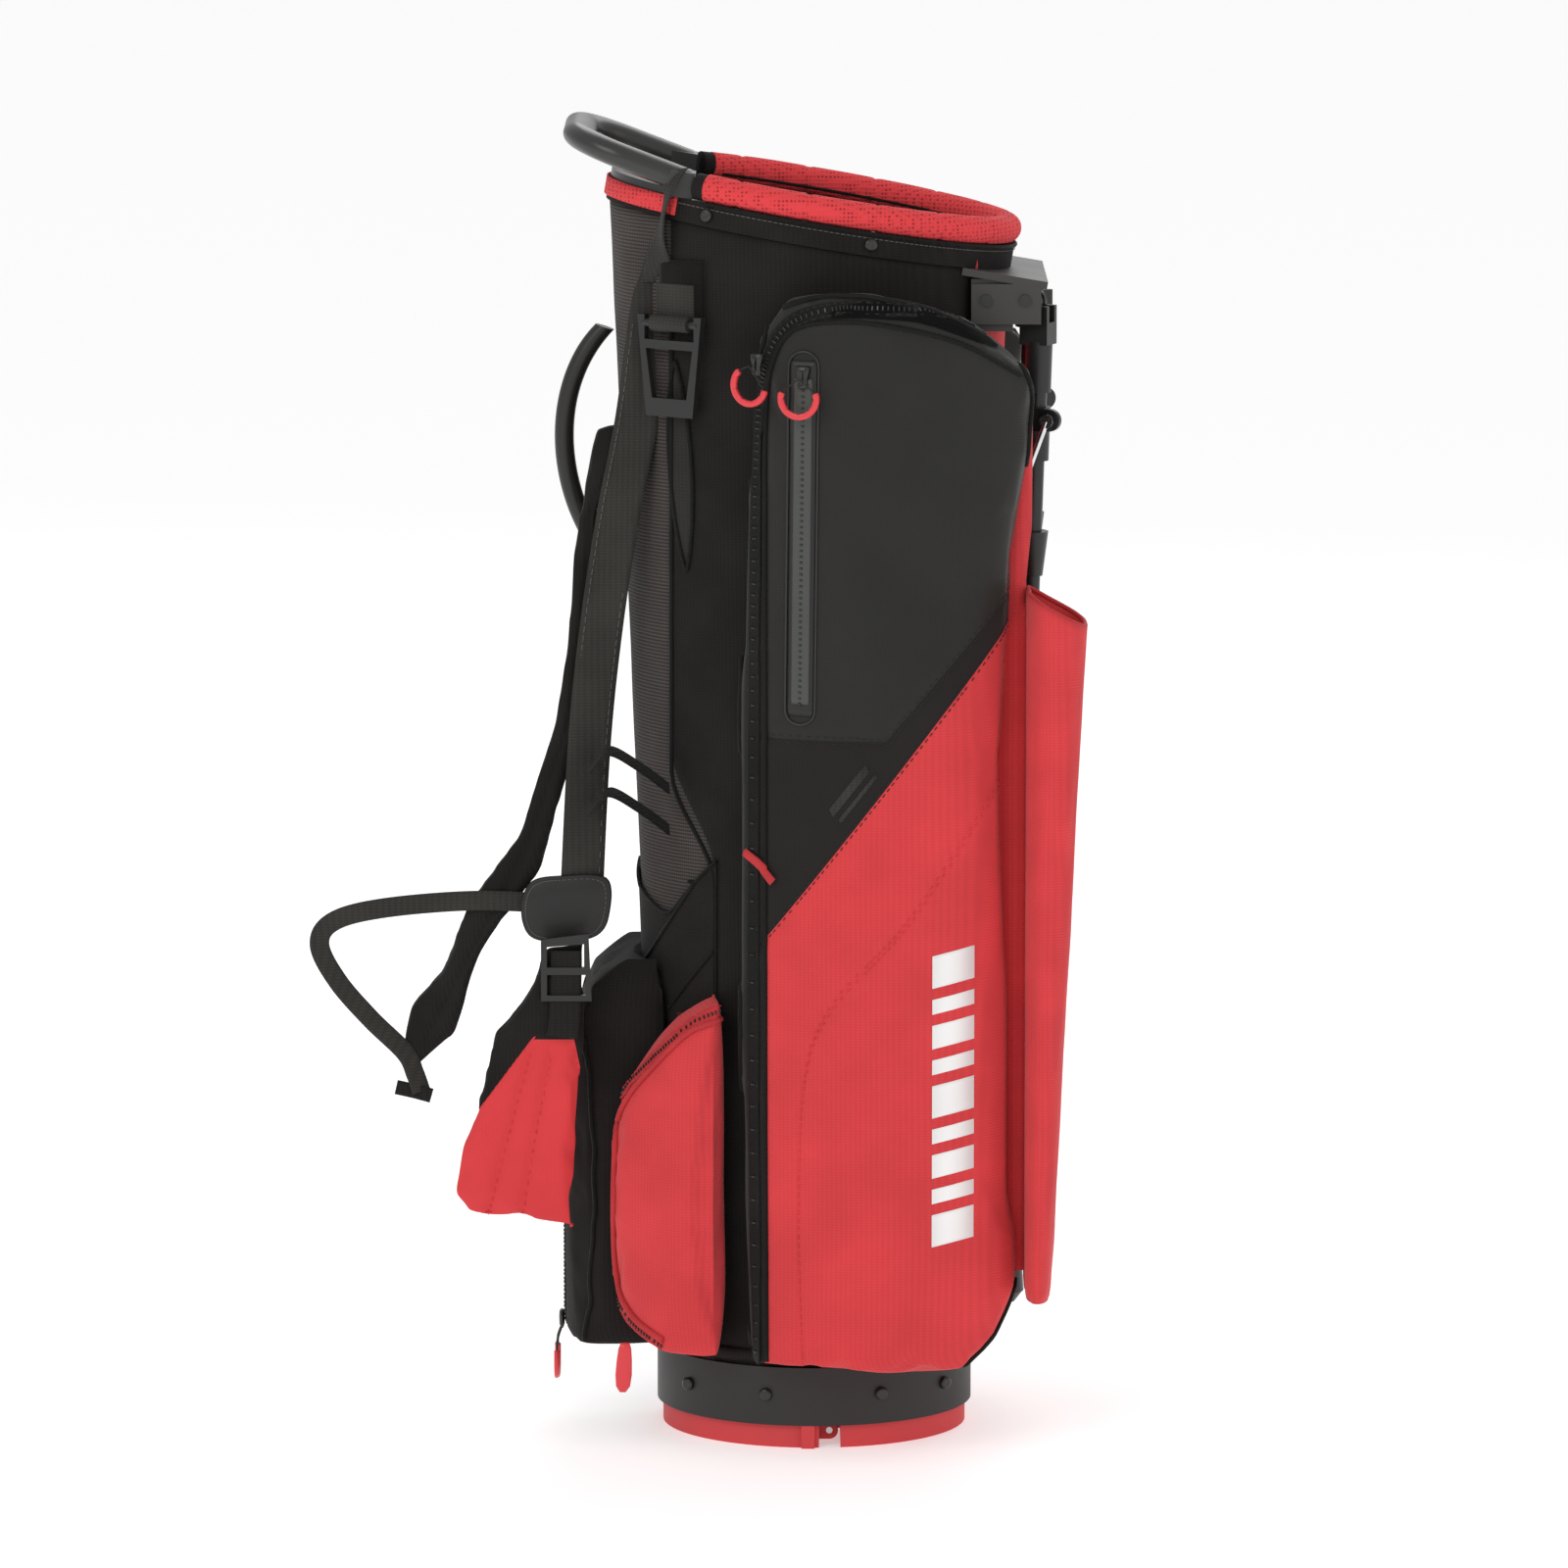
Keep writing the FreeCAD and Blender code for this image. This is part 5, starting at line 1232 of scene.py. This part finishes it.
class BAG_OT_sleeve(bpy.types.Operator):
    """Hang the open umbrella sleeve beside the front edge"""
    bl_idname = "stand_bag.sleeve"
    bl_label = "Umbrella sleeve"

    def execute(self, context):
        outline = mm((142.6, -124), (149, -140), (157, -145.6), (167, -144.5), (174.5, -139), (178.6, -129),
                     (178.8, -104), (176, -93), (170, -86.4), (154, -86.4), (142.6, -86.4), (142.6, -104))
        base = smooth_path([(x, y, 0) for x, y in outline], 72, closed=True)
        sections, rows = [], 90
        mid = Vector((0.161, -0.114, 0))
        for i in range(rows + 1):
            share = i / rows
            section = []
            for k, p in enumerate(base):
                top = 0.588 - 0.020 * max(0.0, (p.x - 0.1426) / 0.036)
                z = 0.113 + (top - 0.113) * share
                taper = 1.0 - 0.16 * max(0.0, 1 - share * 9) ** 2
                fold = noise.noise(Vector((p.x * 60, p.y * 60, z * 9.0)))
                fold += 0.6 * noise.noise(Vector((p.x * 120, p.y * 120, z * 26.0)))
                slim = 0.34 + 0.66 * share ** 0.85
                p = Vector((0.1426 + (p.x - 0.1426) * slim, p.y, 0))
                q = mid + (Vector((p.x, p.y, 0)) - mid) * taper if slim > 0.99 else p
                out = (Vector((p.x, p.y, 0)) - mid).normalized()
                depth = 0.0016 * (fold - 0.8) * (1 - share ** 8) * (0.25 if p.x < 0.1445 else 1.0)
                q = q + out * min(0.0, depth)
                section.append(Vector((q.x, q.y, z)))
            sections.append(section)
        sleeve = hollow_loft("umbrella_pouch", sections, 0.0018, "red_cloth")
        place(sleeve, "bag", "red_cloth", "umbrella_sleeve")
        self.gusset()
        rim = [p + (p - mid - Vector((0, 0, p.z))).normalized() * 0.0002 for p in sections[-1]]
        corded("sleeve_hem", rim, 0.0015, "red_tape", "red_cloth", closed=True)
        second = [p + (Vector((p.x, p.y, 0)) - mid).normalized() * 0.0004 for p in sections[-5]]
        spots = [(p, second[(k + 1) % len(second)] - p, Vector((p.x, p.y, 0)) - mid)
                 for k, p in enumerate(second)]
        place(blocks("sleeve_hem_stitches", spots, (0.0028, 0.0006, 0.0004), "red_thread"), "bag", "red_cloth")
        return {"FINISHED"}

    def gusset(self):
        """The red cloth that joins the side pocket's front edge to the sleeve's back."""
        verts = []
        rows, columns = 90, 5
        edge = [(p.x, p.z) for p in side_points(mm((148, 737), (146, 683), (136, 613), (130, 478), (136, 310),
                                                   (137, 180), (139, 120)), 0, 80)]
        for i in range(rows + 1):
            z = 0.125 + 0.595 * i / rows
            front = min(edge, key=lambda q: abs(q[1] - z))[0]
            out = 0.1428 if z < 0.575 else min(0.1440, front + 0.006)
            for k in range(columns + 1):
                x = front - 0.012 + (out - front + 0.012) * k / columns
                y = -0.097 - 0.004 * math.sin(math.pi * k / columns)
                verts.append(Vector((x, y + 0.001 * noise.noise(Vector((x * 60, 3.0, z * 14))), z)))
        cloth = make("sleeve_gusset", verts, grid_faces(rows, columns), "red_cloth")
        thicken(cloth, 0.0012, offset=0)
        place(cloth, "bag", "red_cloth")


STRAP_Y = -0.0612  # the layer that the webbing hangs in


class BAG_OT_straps(bpy.types.Operator):
    """Hang the shoulder straps, their pads and the webbing"""
    bl_idname = "stand_bag.straps"
    bl_label = "Shoulder straps"

    def execute(self, context):
        self.spine_strap()
        self.loop()
        self.hub()
        self.pads()
        return {"FINISHED"}

    def strap(self, name, flat, y, width, finish, count=90, turn=None):
        """A length of webbing that hangs at one y, twisted by turn."""
        line = smooth_path([(x, y, z) for x, z in flat], count)
        across = []
        for k in range(count):
            tangent = (line[min(count - 1, k + 1)] - line[max(0, k - 1)]).normalized()
            wide = tangent.cross(Vector((0, 1, 0)))
            angle = turn(k / (count - 1)) if turn else 0.0
            across.append(wide * math.cos(angle) + Vector((0, 1, 0)) * math.sin(angle))
        return place(ribbon(name, line, across, width, 0.0017, finish), "bag", "webbing"), line

    def spine_strap(self):
        """The long strap beside the spine and its two rows of stitches."""
        path = mm((-92, 826), (-103, 790), (-109, 770), (-119, 698), (-132, 631), (-144, 551), (-152, 471),
                  (-158, 353))
        piece, line = self.strap("spine_strap", path, STRAP_Y, 0.029, "webbing",
                                 turn=lambda s: 0.12 * math.sin(s * 9))
        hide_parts("spine_webbing")
        for label, side in (("a", -1), ("b", 1)):
            spots = []
            for k in range(2, len(line) - 2):
                tangent = (line[k + 1] - line[k - 1]).normalized()
                wide = tangent.cross(Vector((0, 1, 0)))
                spots.append((line[k] + wide * side * 0.0112 + Vector((0, -0.00095, 0)), tangent, Vector(FAR)))
            place(blocks("spine_strap_stitch_" + label, spots, (0.0042, 0.0006, 0.0003), "pale_thread"), "bag",
                  "webbing")

    def loop(self):
        """The loose loop of webbing with its folded tail."""
        path = mm((-178, 369), (-230, 371), (-290, 366), (-324, 357), (-334, 341), (-322, 316), (-300, 290),
                  (-277, 267), (-270, 252), (-266, 240))
        turn = (lambda s: 0.5 * math.sin(max(0.0, s - 0.25) * 2.6))
        piece, _ = self.strap("webbing_loop_strap", path, STRAP_Y, 0.0135, "webbing", count=110, turn=turn)
        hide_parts("webbing_loop")
        self.strap("webbing_loop_end", mm((-283, 243), (-270, 240), (-259, 237)), STRAP_Y, 0.010,
                   "dark_webbing", count=12)

    def hub(self):
        """The soft patch where the straps meet, with its stitched edge."""
        flat = mm((-197, 373), (-190, 385), (-172, 388.5), (-140, 387), (-138.5, 361), (-148, 347), (-172, 343.5),
                  (-190, 346), (-197, 357))
        edge = smooth_path([(x, 0, z) for x, z in flat], 72, closed=True)
        centre = sum(edge, Vector()) / len(edge)
        rings = ((1.0, -0.0628), (1.0, -0.0652), (0.965, -0.0664), (0.90, -0.0660), (0.86, -0.0667),
                 (0.45, -0.0670), (0.15, -0.0671))
        verts = []
        for scale, y in rings:
            for p in edge:
                q = centre + (p - centre) * scale
                verts.append(Vector((q.x, y + 0.0002 * noise.noise(Vector((q.x * 90, y, q.z * 90))), q.z)))
        patch = make("hub_patch_cover", verts, ring_faces(len(rings), len(edge)), "soft_patch")
        place(patch, "bag", "soft_patch", "hub_patch")
        ring = [centre + (p - centre) * 0.885 + Vector((0, -0.0664, 0)) for p in edge]
        spots = [(p, ring[(k + 1) % len(ring)] - p, Vector(FAR)) for k, p in enumerate(ring)]
        place(blocks("hub_stitches", spots, (0.0022, 0.0006, 0.0004), "pale_thread"), "bag", "soft_patch")

    def pads(self):
        """The two shoulder pads with their sewn channels, and the strap to the buckle."""
        front = padding("front_pad", ("front_shoulder_pad",), "pad_split", seed=44.0, shrink=0.0045,
                        cap=0.0055, voxel=0.0045, wrinkle=0.0009)
        for path in (mm((-177, 272), (-188, 215), (-199, 150)), mm((-190, 276), (-206, 215), (-222, 154))):
            for way in (-1, 1):
                press(front, path, (0, 2), 0.0026, 0.007, facing=(0, way, 0))
        press(front, mm((-240, 214), (-192, 279), (-164, 279), (-152, 224)), (0, 2), 0.0012, 0.006)
        place(front, "bag", "pad_cloth", "front_shoulder_pad")
        tree = surface_of(front)
        for number, path in enumerate((mm((-177, 270), (-188, 215), (-198, 152)),
                                       mm((-190, 274), (-206, 215), (-221, 156)),
                                       mm((-238, 216), (-192, 278), (-190, 279)),
                                       mm((-163, 277), (-158, 250), (-153, 226)))):
            laid, normals = drape(tree, side_points(path, 0, 40), NEAR, 0.0002)
            sewn("front_pad_stitch_%d" % (number + 1), laid, normals, "red_thread", "pad_cloth")
        rear = padding("rear_pad", ("rear_shoulder_pad",), "pad_cloth", seed=54.0, shrink=0.0035, cap=0.0040,
                       voxel=0.004, wrinkle=0.0006)
        channel = mm((-128, 682), (-150, 640), (-156, 560), (-166, 490), (-192, 412), (-228, 340), (-262, 276))
        for way in (-1, 1):
            press(rear, channel, (0, 2), 0.0022, 0.007, facing=(0, way, 0))
        place(rear, "bag", "pad_cloth", "rear_shoulder_pad")
        self.strap("buckle_strap", mm((-167, 341), (-167, 330), (-168, 300), (-170, 282)), -0.0862, 0.021,
                   "dark_webbing", count=40)
        self.top_strap()

    def top_strap(self):
        """The strap's twisted upper end, which goes up past the collar to the handle."""
        low = Vector((-0.1035, -0.0640, 0.790))
        line = smooth_path([low, (-0.1040, -0.0735, 0.812), (-0.1010, -0.0810, 0.836), (-0.0965, -0.0800, 0.856),
                            (-0.0950, -0.0735, 0.866)], 40)
        across = []
        for k in range(40):
            turn = 0.3 + 1.15 * math.sin(math.pi * k / 39)
            across.append(Vector((math.cos(turn), -0.6 * math.sin(turn), 0.25)))
        width = [0.026 - 0.012 * math.sin(math.pi * k / 39) for k in range(40)]
        place(ribbon("strap_upper_end", line, across, width, 0.0017, "webbing"), "bag", "webbing")


CLOTHING_YAW, VALUABLES_YAW = math.radians(31.9), math.radians(17.7)  # how the cloth turns at each zip


def side_and_out(yaw):
    """Along the pocket's cloth and straight off it, at a turn from the side view."""
    return Vector((math.cos(yaw), -math.sin(yaw), 0)), Vector((-math.sin(yaw), -math.cos(yaw), 0))


def rings_of(name, rings, material):
    """A closed piece from rings of points."""
    return make(name, [v for ring in rings for v in ring], ring_faces(len(rings), len(rings[0])), material)


class BAG_OT_small_parts(bpy.types.Operator):
    """Add the loops, tabs and cord pulls"""
    bl_idname = "stand_bag.small_parts"
    bl_label = "Loops and pulls"

    def execute(self, context):
        rng = random.Random(7)
        for number, z in ((1, 0.470), (2, 0.442)):
            line = smooth_path([(-0.098, -0.075, z - 0.02), (-0.118, -0.082, z - 0.004), (-0.138, -0.080, z + 0.006),
                                (-0.150, -0.070, z - 0.008 + 0.002 * rng.random())], 26)
            across = [Vector((0.1, 1, 0.25))] * len(line)
            place(ribbon("side_loop_%d" % number, line, across, 0.016, 0.0016, "dark_webbing"), "bag",
                  "webbing")
        self.rubber_pull()
        self.ring_pull("clothing_pull", "apparel_ring", (-0.0434, -0.1345, 0.742), CLOTHING_YAW, -0.55)
        self.ring_pull("valuables_pull", "valuables_ring", (-0.0111, -0.1486, 0.735), VALUABLES_YAW, 0.0)
        self.spine_pull()
        self.slider("clothing_slider", "apparel_slider", CLOTHING_YAW)
        self.slider("valuables_slider_body", "valuables_slider", VALUABLES_YAW)
        self.foot_bindings()
        return {"FINISHED"}

    def ring_pull(self, name, node, hinge, yaw, lean):
        """A C-shaped moulded pull on a thin cord from the slider."""
        hinge = Vector(hinge)
        side, out = side_and_out(yaw)
        low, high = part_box(node)
        middle = (Vector(low) + Vector(high)) / 2
        arc = []
        for k in range(45):
            t = -math.pi / 2 + lean + math.radians(-108 + 216 * k / 44)
            arc.append(middle + side * math.cos(t) * 0.0122 + UP * math.sin(t) * 0.0122)
        verts = []
        for k, p in enumerate(arc):
            radial = (p - middle).normalized()
            end = 1.0 if 0 < k < 44 else 0.8
            for a, b in ((-0.0021, -0.0011), (-0.0016, -0.0016), (0.0016, -0.0016), (0.0021, -0.0011),
                         (0.0021, 0.0011), (0.0016, 0.0016), (-0.0016, 0.0016), (-0.0021, 0.0011)):
                notch = 0.7 if k % 9 == 4 and a < 0 else 1.0
                verts.append(p + radial * a * end * notch + out * b * end)
        place(make(name, verts, ring_faces(45, 8), "red_plastic"), node, "red_plastic", node)
        top = hinge + out * 0.0005 + UP * -0.0002
        for number, end in ((1, arc[1]), (2, arc[-2])):
            line = smooth_path([top, (top + end) / 2 + UP * 0.0006, end], 14)
            place(tube("%s_cord_%d" % (name, number), line, 0.0006, "black_thread", ring=6), node, "red_plastic")

    def slider(self, name, node, yaw):
        """A die-cast slider: a waisted body, its crown and the bail over it."""
        low, high = Vector(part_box(node)[0]), Vector(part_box(node)[1])
        middle, tall = (low + high) / 2, high.z - low.z
        side, out = side_and_out(yaw)
        rings = []
        for share, wide, deep in ((-0.5, 0.0028, 0.0012), (-0.42, 0.0036, 0.0018), (-0.1, 0.0031, 0.0020),
                                  (0.2, 0.0044, 0.0021), (0.42, 0.0050, 0.0019), (0.5, 0.0040, 0.0012)):
            rings.append([middle - out * 0.0012 + UP * share * tall + side * x * wide + out * y * deep
                          for x, y in circle(16)])
        place(rings_of(name, rings, "black_metal"), node, "zip_metal", node)
        bail = [middle + out * (0.0009 + 0.0017 * math.sin(math.pi * k / 12))
                + UP * tall * (-0.32 + 0.64 * k / 12) for k in range(13)]
        corded(name + "_bail", bail, 0.0009, "black_metal", "zip_metal", body=node)

    def spine_pull(self):
        """The spine zip's slider, its wire and the moulded pull that hangs from it."""
        node = "spine_slider"
        low, high = Vector(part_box(node)[0]), Vector(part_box(node)[1])
        x = (low.x + high.x) / 2
        rings = []
        for z, wide, deep in ((high.z - 0.0125, 0.0032, 0.0012), (high.z - 0.010, 0.0044, 0.0019),
                              (high.z - 0.005, 0.0040, 0.0021), (high.z - 0.001, 0.0052, 0.0018),
                              (high.z, 0.0036, 0.001)):
            rings.append([Vector((x + deep * b, wide * a, z)) for a, b in circle(16)])
        place(rings_of("spine_slider_body", rings, "black_metal"), node, "zip_metal", node)
        centre = Vector((x - 0.0032, 0, low.z + 0.0155))
        wire = smooth_path([(x, 0.0012, high.z - 0.011), (x - 0.0028, 0.006, high.z - 0.019),
                            (x - 0.0032, 0.0118, centre.z + 0.006)], 16)
        other = [Vector((p.x, -p.y, p.z)) for p in wire]
        corded("spine_pull_wire_1", wire, 0.0009, "black_metal", "zip_metal", body=node)
        corded("spine_pull_wire_2", other, 0.0009, "black_metal", "zip_metal", body=node)
        arc = [centre + Vector((0, math.cos(t) * 0.0132, math.sin(t) * 0.0132))
               for t in [math.radians(-208 + 236 * k / 40) for k in range(41)]]
        place(tube("spine_pull", arc, 0.0024, "red_plastic", ring=12, flat=0.7), node, "red_plastic")

    def foot_bindings(self):
        """The black cloth that closes the pockets above the base band."""
        verts, count = [], 120
        for grow, z in ((0.0006, 0.058), (0.0026, 0.0600), (0.0030, 0.0640), (0.0016, 0.0668)):
            for k in range(count):
                verts.append(wall(math.tau * k / count, z, grow + 0.0004 * math.sin(k * 0.9)))
        cloth = make("foot_binding", verts, ring_faces(4, count)[:-2], "black_cloth")
        thicken(cloth, 0.0006)
        place(cloth, "bag", "black_cloth")

    def rubber_pull(self):
        """The rubber tab on the ball pocket's slider."""
        rings = ((0.0, 0.0030, 0.0014), (0.004, 0.0044, 0.0018), (0.012, 0.0052, 0.0020), (0.022, 0.0056, 0.0020),
                 (0.030, 0.0048, 0.0018), (0.034, 0.0022, 0.0010))
        top = Vector((-0.128, -0.097, 0.074))
        down = Vector((-0.05, 0, -1)).normalized()
        rings = [[top + down * at + Vector((x * wide, y * deep, 0)) for x, y in circle(20)]
                 for at, wide, deep in rings]
        place(rings_of("ball_zip_tab", rings, "red_plastic"), "bag", "red_plastic")


LENS = 205.5
CAMERA_AT, CAMERA_TILT = (-0.0207, -6.0, 1.43), math.radians(80.636)
FLOOR_REACH, FLOOR_GLOW, AIR_GLOW = 45.0, 0.40, 0.60
LIGHTS = (("key_light", (-2.0, -3.2, 3.0), (0, 0, 0.5), 2.4, 48),  # place, target, size, watts
          ("fill_light", (3.0, -2.6, 1.8), (0, 0, 0.5), 2.6, 14),
          ("back_light", (0.6, 2.4, 2.6), (0, 0, 0.6), 2.2, 26))


class BAG_OT_stage(bpy.types.Operator):
    """Lay the pale floor and set the lights and the camera"""
    bl_idname = "stand_bag.stage"
    bl_label = "Stage"

    def execute(self, context):
        scene = context.scene
        count = 96
        verts = [(0, 0, 0)] + [(FLOOR_REACH * x, FLOOR_REACH * y, 0) for x, y in circle(count)]
        faces = [(0, 1 + k, 1 + (k + 1) % count) for k in range(count)]
        mat, _, bsdf = shader("floor_white", (0.93, 0.93, 0.93), 0.9, specular=0.1)
        bsdf.inputs["Emission Color"].default_value = (1, 1, 1, 1)
        bsdf.inputs["Emission Strength"].default_value = FLOOR_GLOW
        data = bpy.data.meshes.new("studio_floor")
        data.from_pydata(verts, [], faces)
        floor = bpy.data.objects.new("studio_floor", data)
        scene.collection.objects.link(floor)
        data.materials.append(mat)
        for face in data.polygons:
            face.use_smooth = True
        world = bpy.data.worlds.new("studio_air")
        world.use_nodes = True
        world.node_tree.nodes["Background"].inputs["Color"].default_value = (1, 1, 1, 1)
        world.node_tree.nodes["Background"].inputs["Strength"].default_value = AIR_GLOW
        scene.world = world
        for name, at, target, size, power in LIGHTS:
            lamp = bpy.data.lights.new(name, "AREA")
            lamp.energy = power
            lamp.size = size
            item = bpy.data.objects.new(name, lamp)
            item.location = at
            item.rotation_euler = (Vector(target) - Vector(at)).to_track_quat("-Z", "Y").to_euler()
            scene.collection.objects.link(item)
        lens = bpy.data.cameras.new("camera")
        lens.lens = LENS
        lens.sensor_width = 36
        lens.clip_end = 120
        camera = bpy.data.objects.new("camera", lens)
        camera.location = CAMERA_AT
        camera.rotation_euler = (CAMERA_TILT, 0, 0)
        scene.collection.objects.link(camera)
        scene.camera = camera
        scene.view_settings.view_transform = "Standard"
        return {"FINISHED"}


class BAG_PT_panel(bpy.types.Panel):
    bl_idname = "BAG_PT_panel"
    bl_label = "Stand Bag"
    bl_space_type = "VIEW_3D"
    bl_region_type = "UI"
    bl_category = "Stand Bag"

    def draw(self, context):
        bag = context.scene.stand_bag
        for field in ("foot_a", "foot_b", "rim_a", "rim_b", "rim_z", "tilt", "red", "black"):
            self.layout.prop(bag, field)
        for step in STEPS:
            self.layout.operator(step.bl_idname)


STEPS = (BAG_OT_materials, BAG_OT_stage, BAG_OT_frame_finishes, BAG_OT_walls, BAG_OT_cuff, BAG_OT_dividers,
         BAG_OT_near_pocket, BAG_OT_far_pocket, BAG_OT_ball_pocket, BAG_OT_spine_pocket, BAG_OT_sleeve,
         BAG_OT_straps, BAG_OT_small_parts)
CLASSES = (BagSizes,) + STEPS + (BAG_PT_panel,)


def register():
    for item in CLASSES:
        bpy.utils.register_class(item)
    bpy.types.Scene.stand_bag = bpy.props.PointerProperty(type=BagSizes)


def unregister():
    del bpy.types.Scene.stand_bag
    for item in reversed(CLASSES):
        bpy.utils.unregister_class(item)


def main():
    register()
    clear_selection()
    for step in STEPS:
        group, name = step.bl_idname.split(".")
        getattr(getattr(bpy.ops, group), name)()


if __name__ == "__main__":
    main()
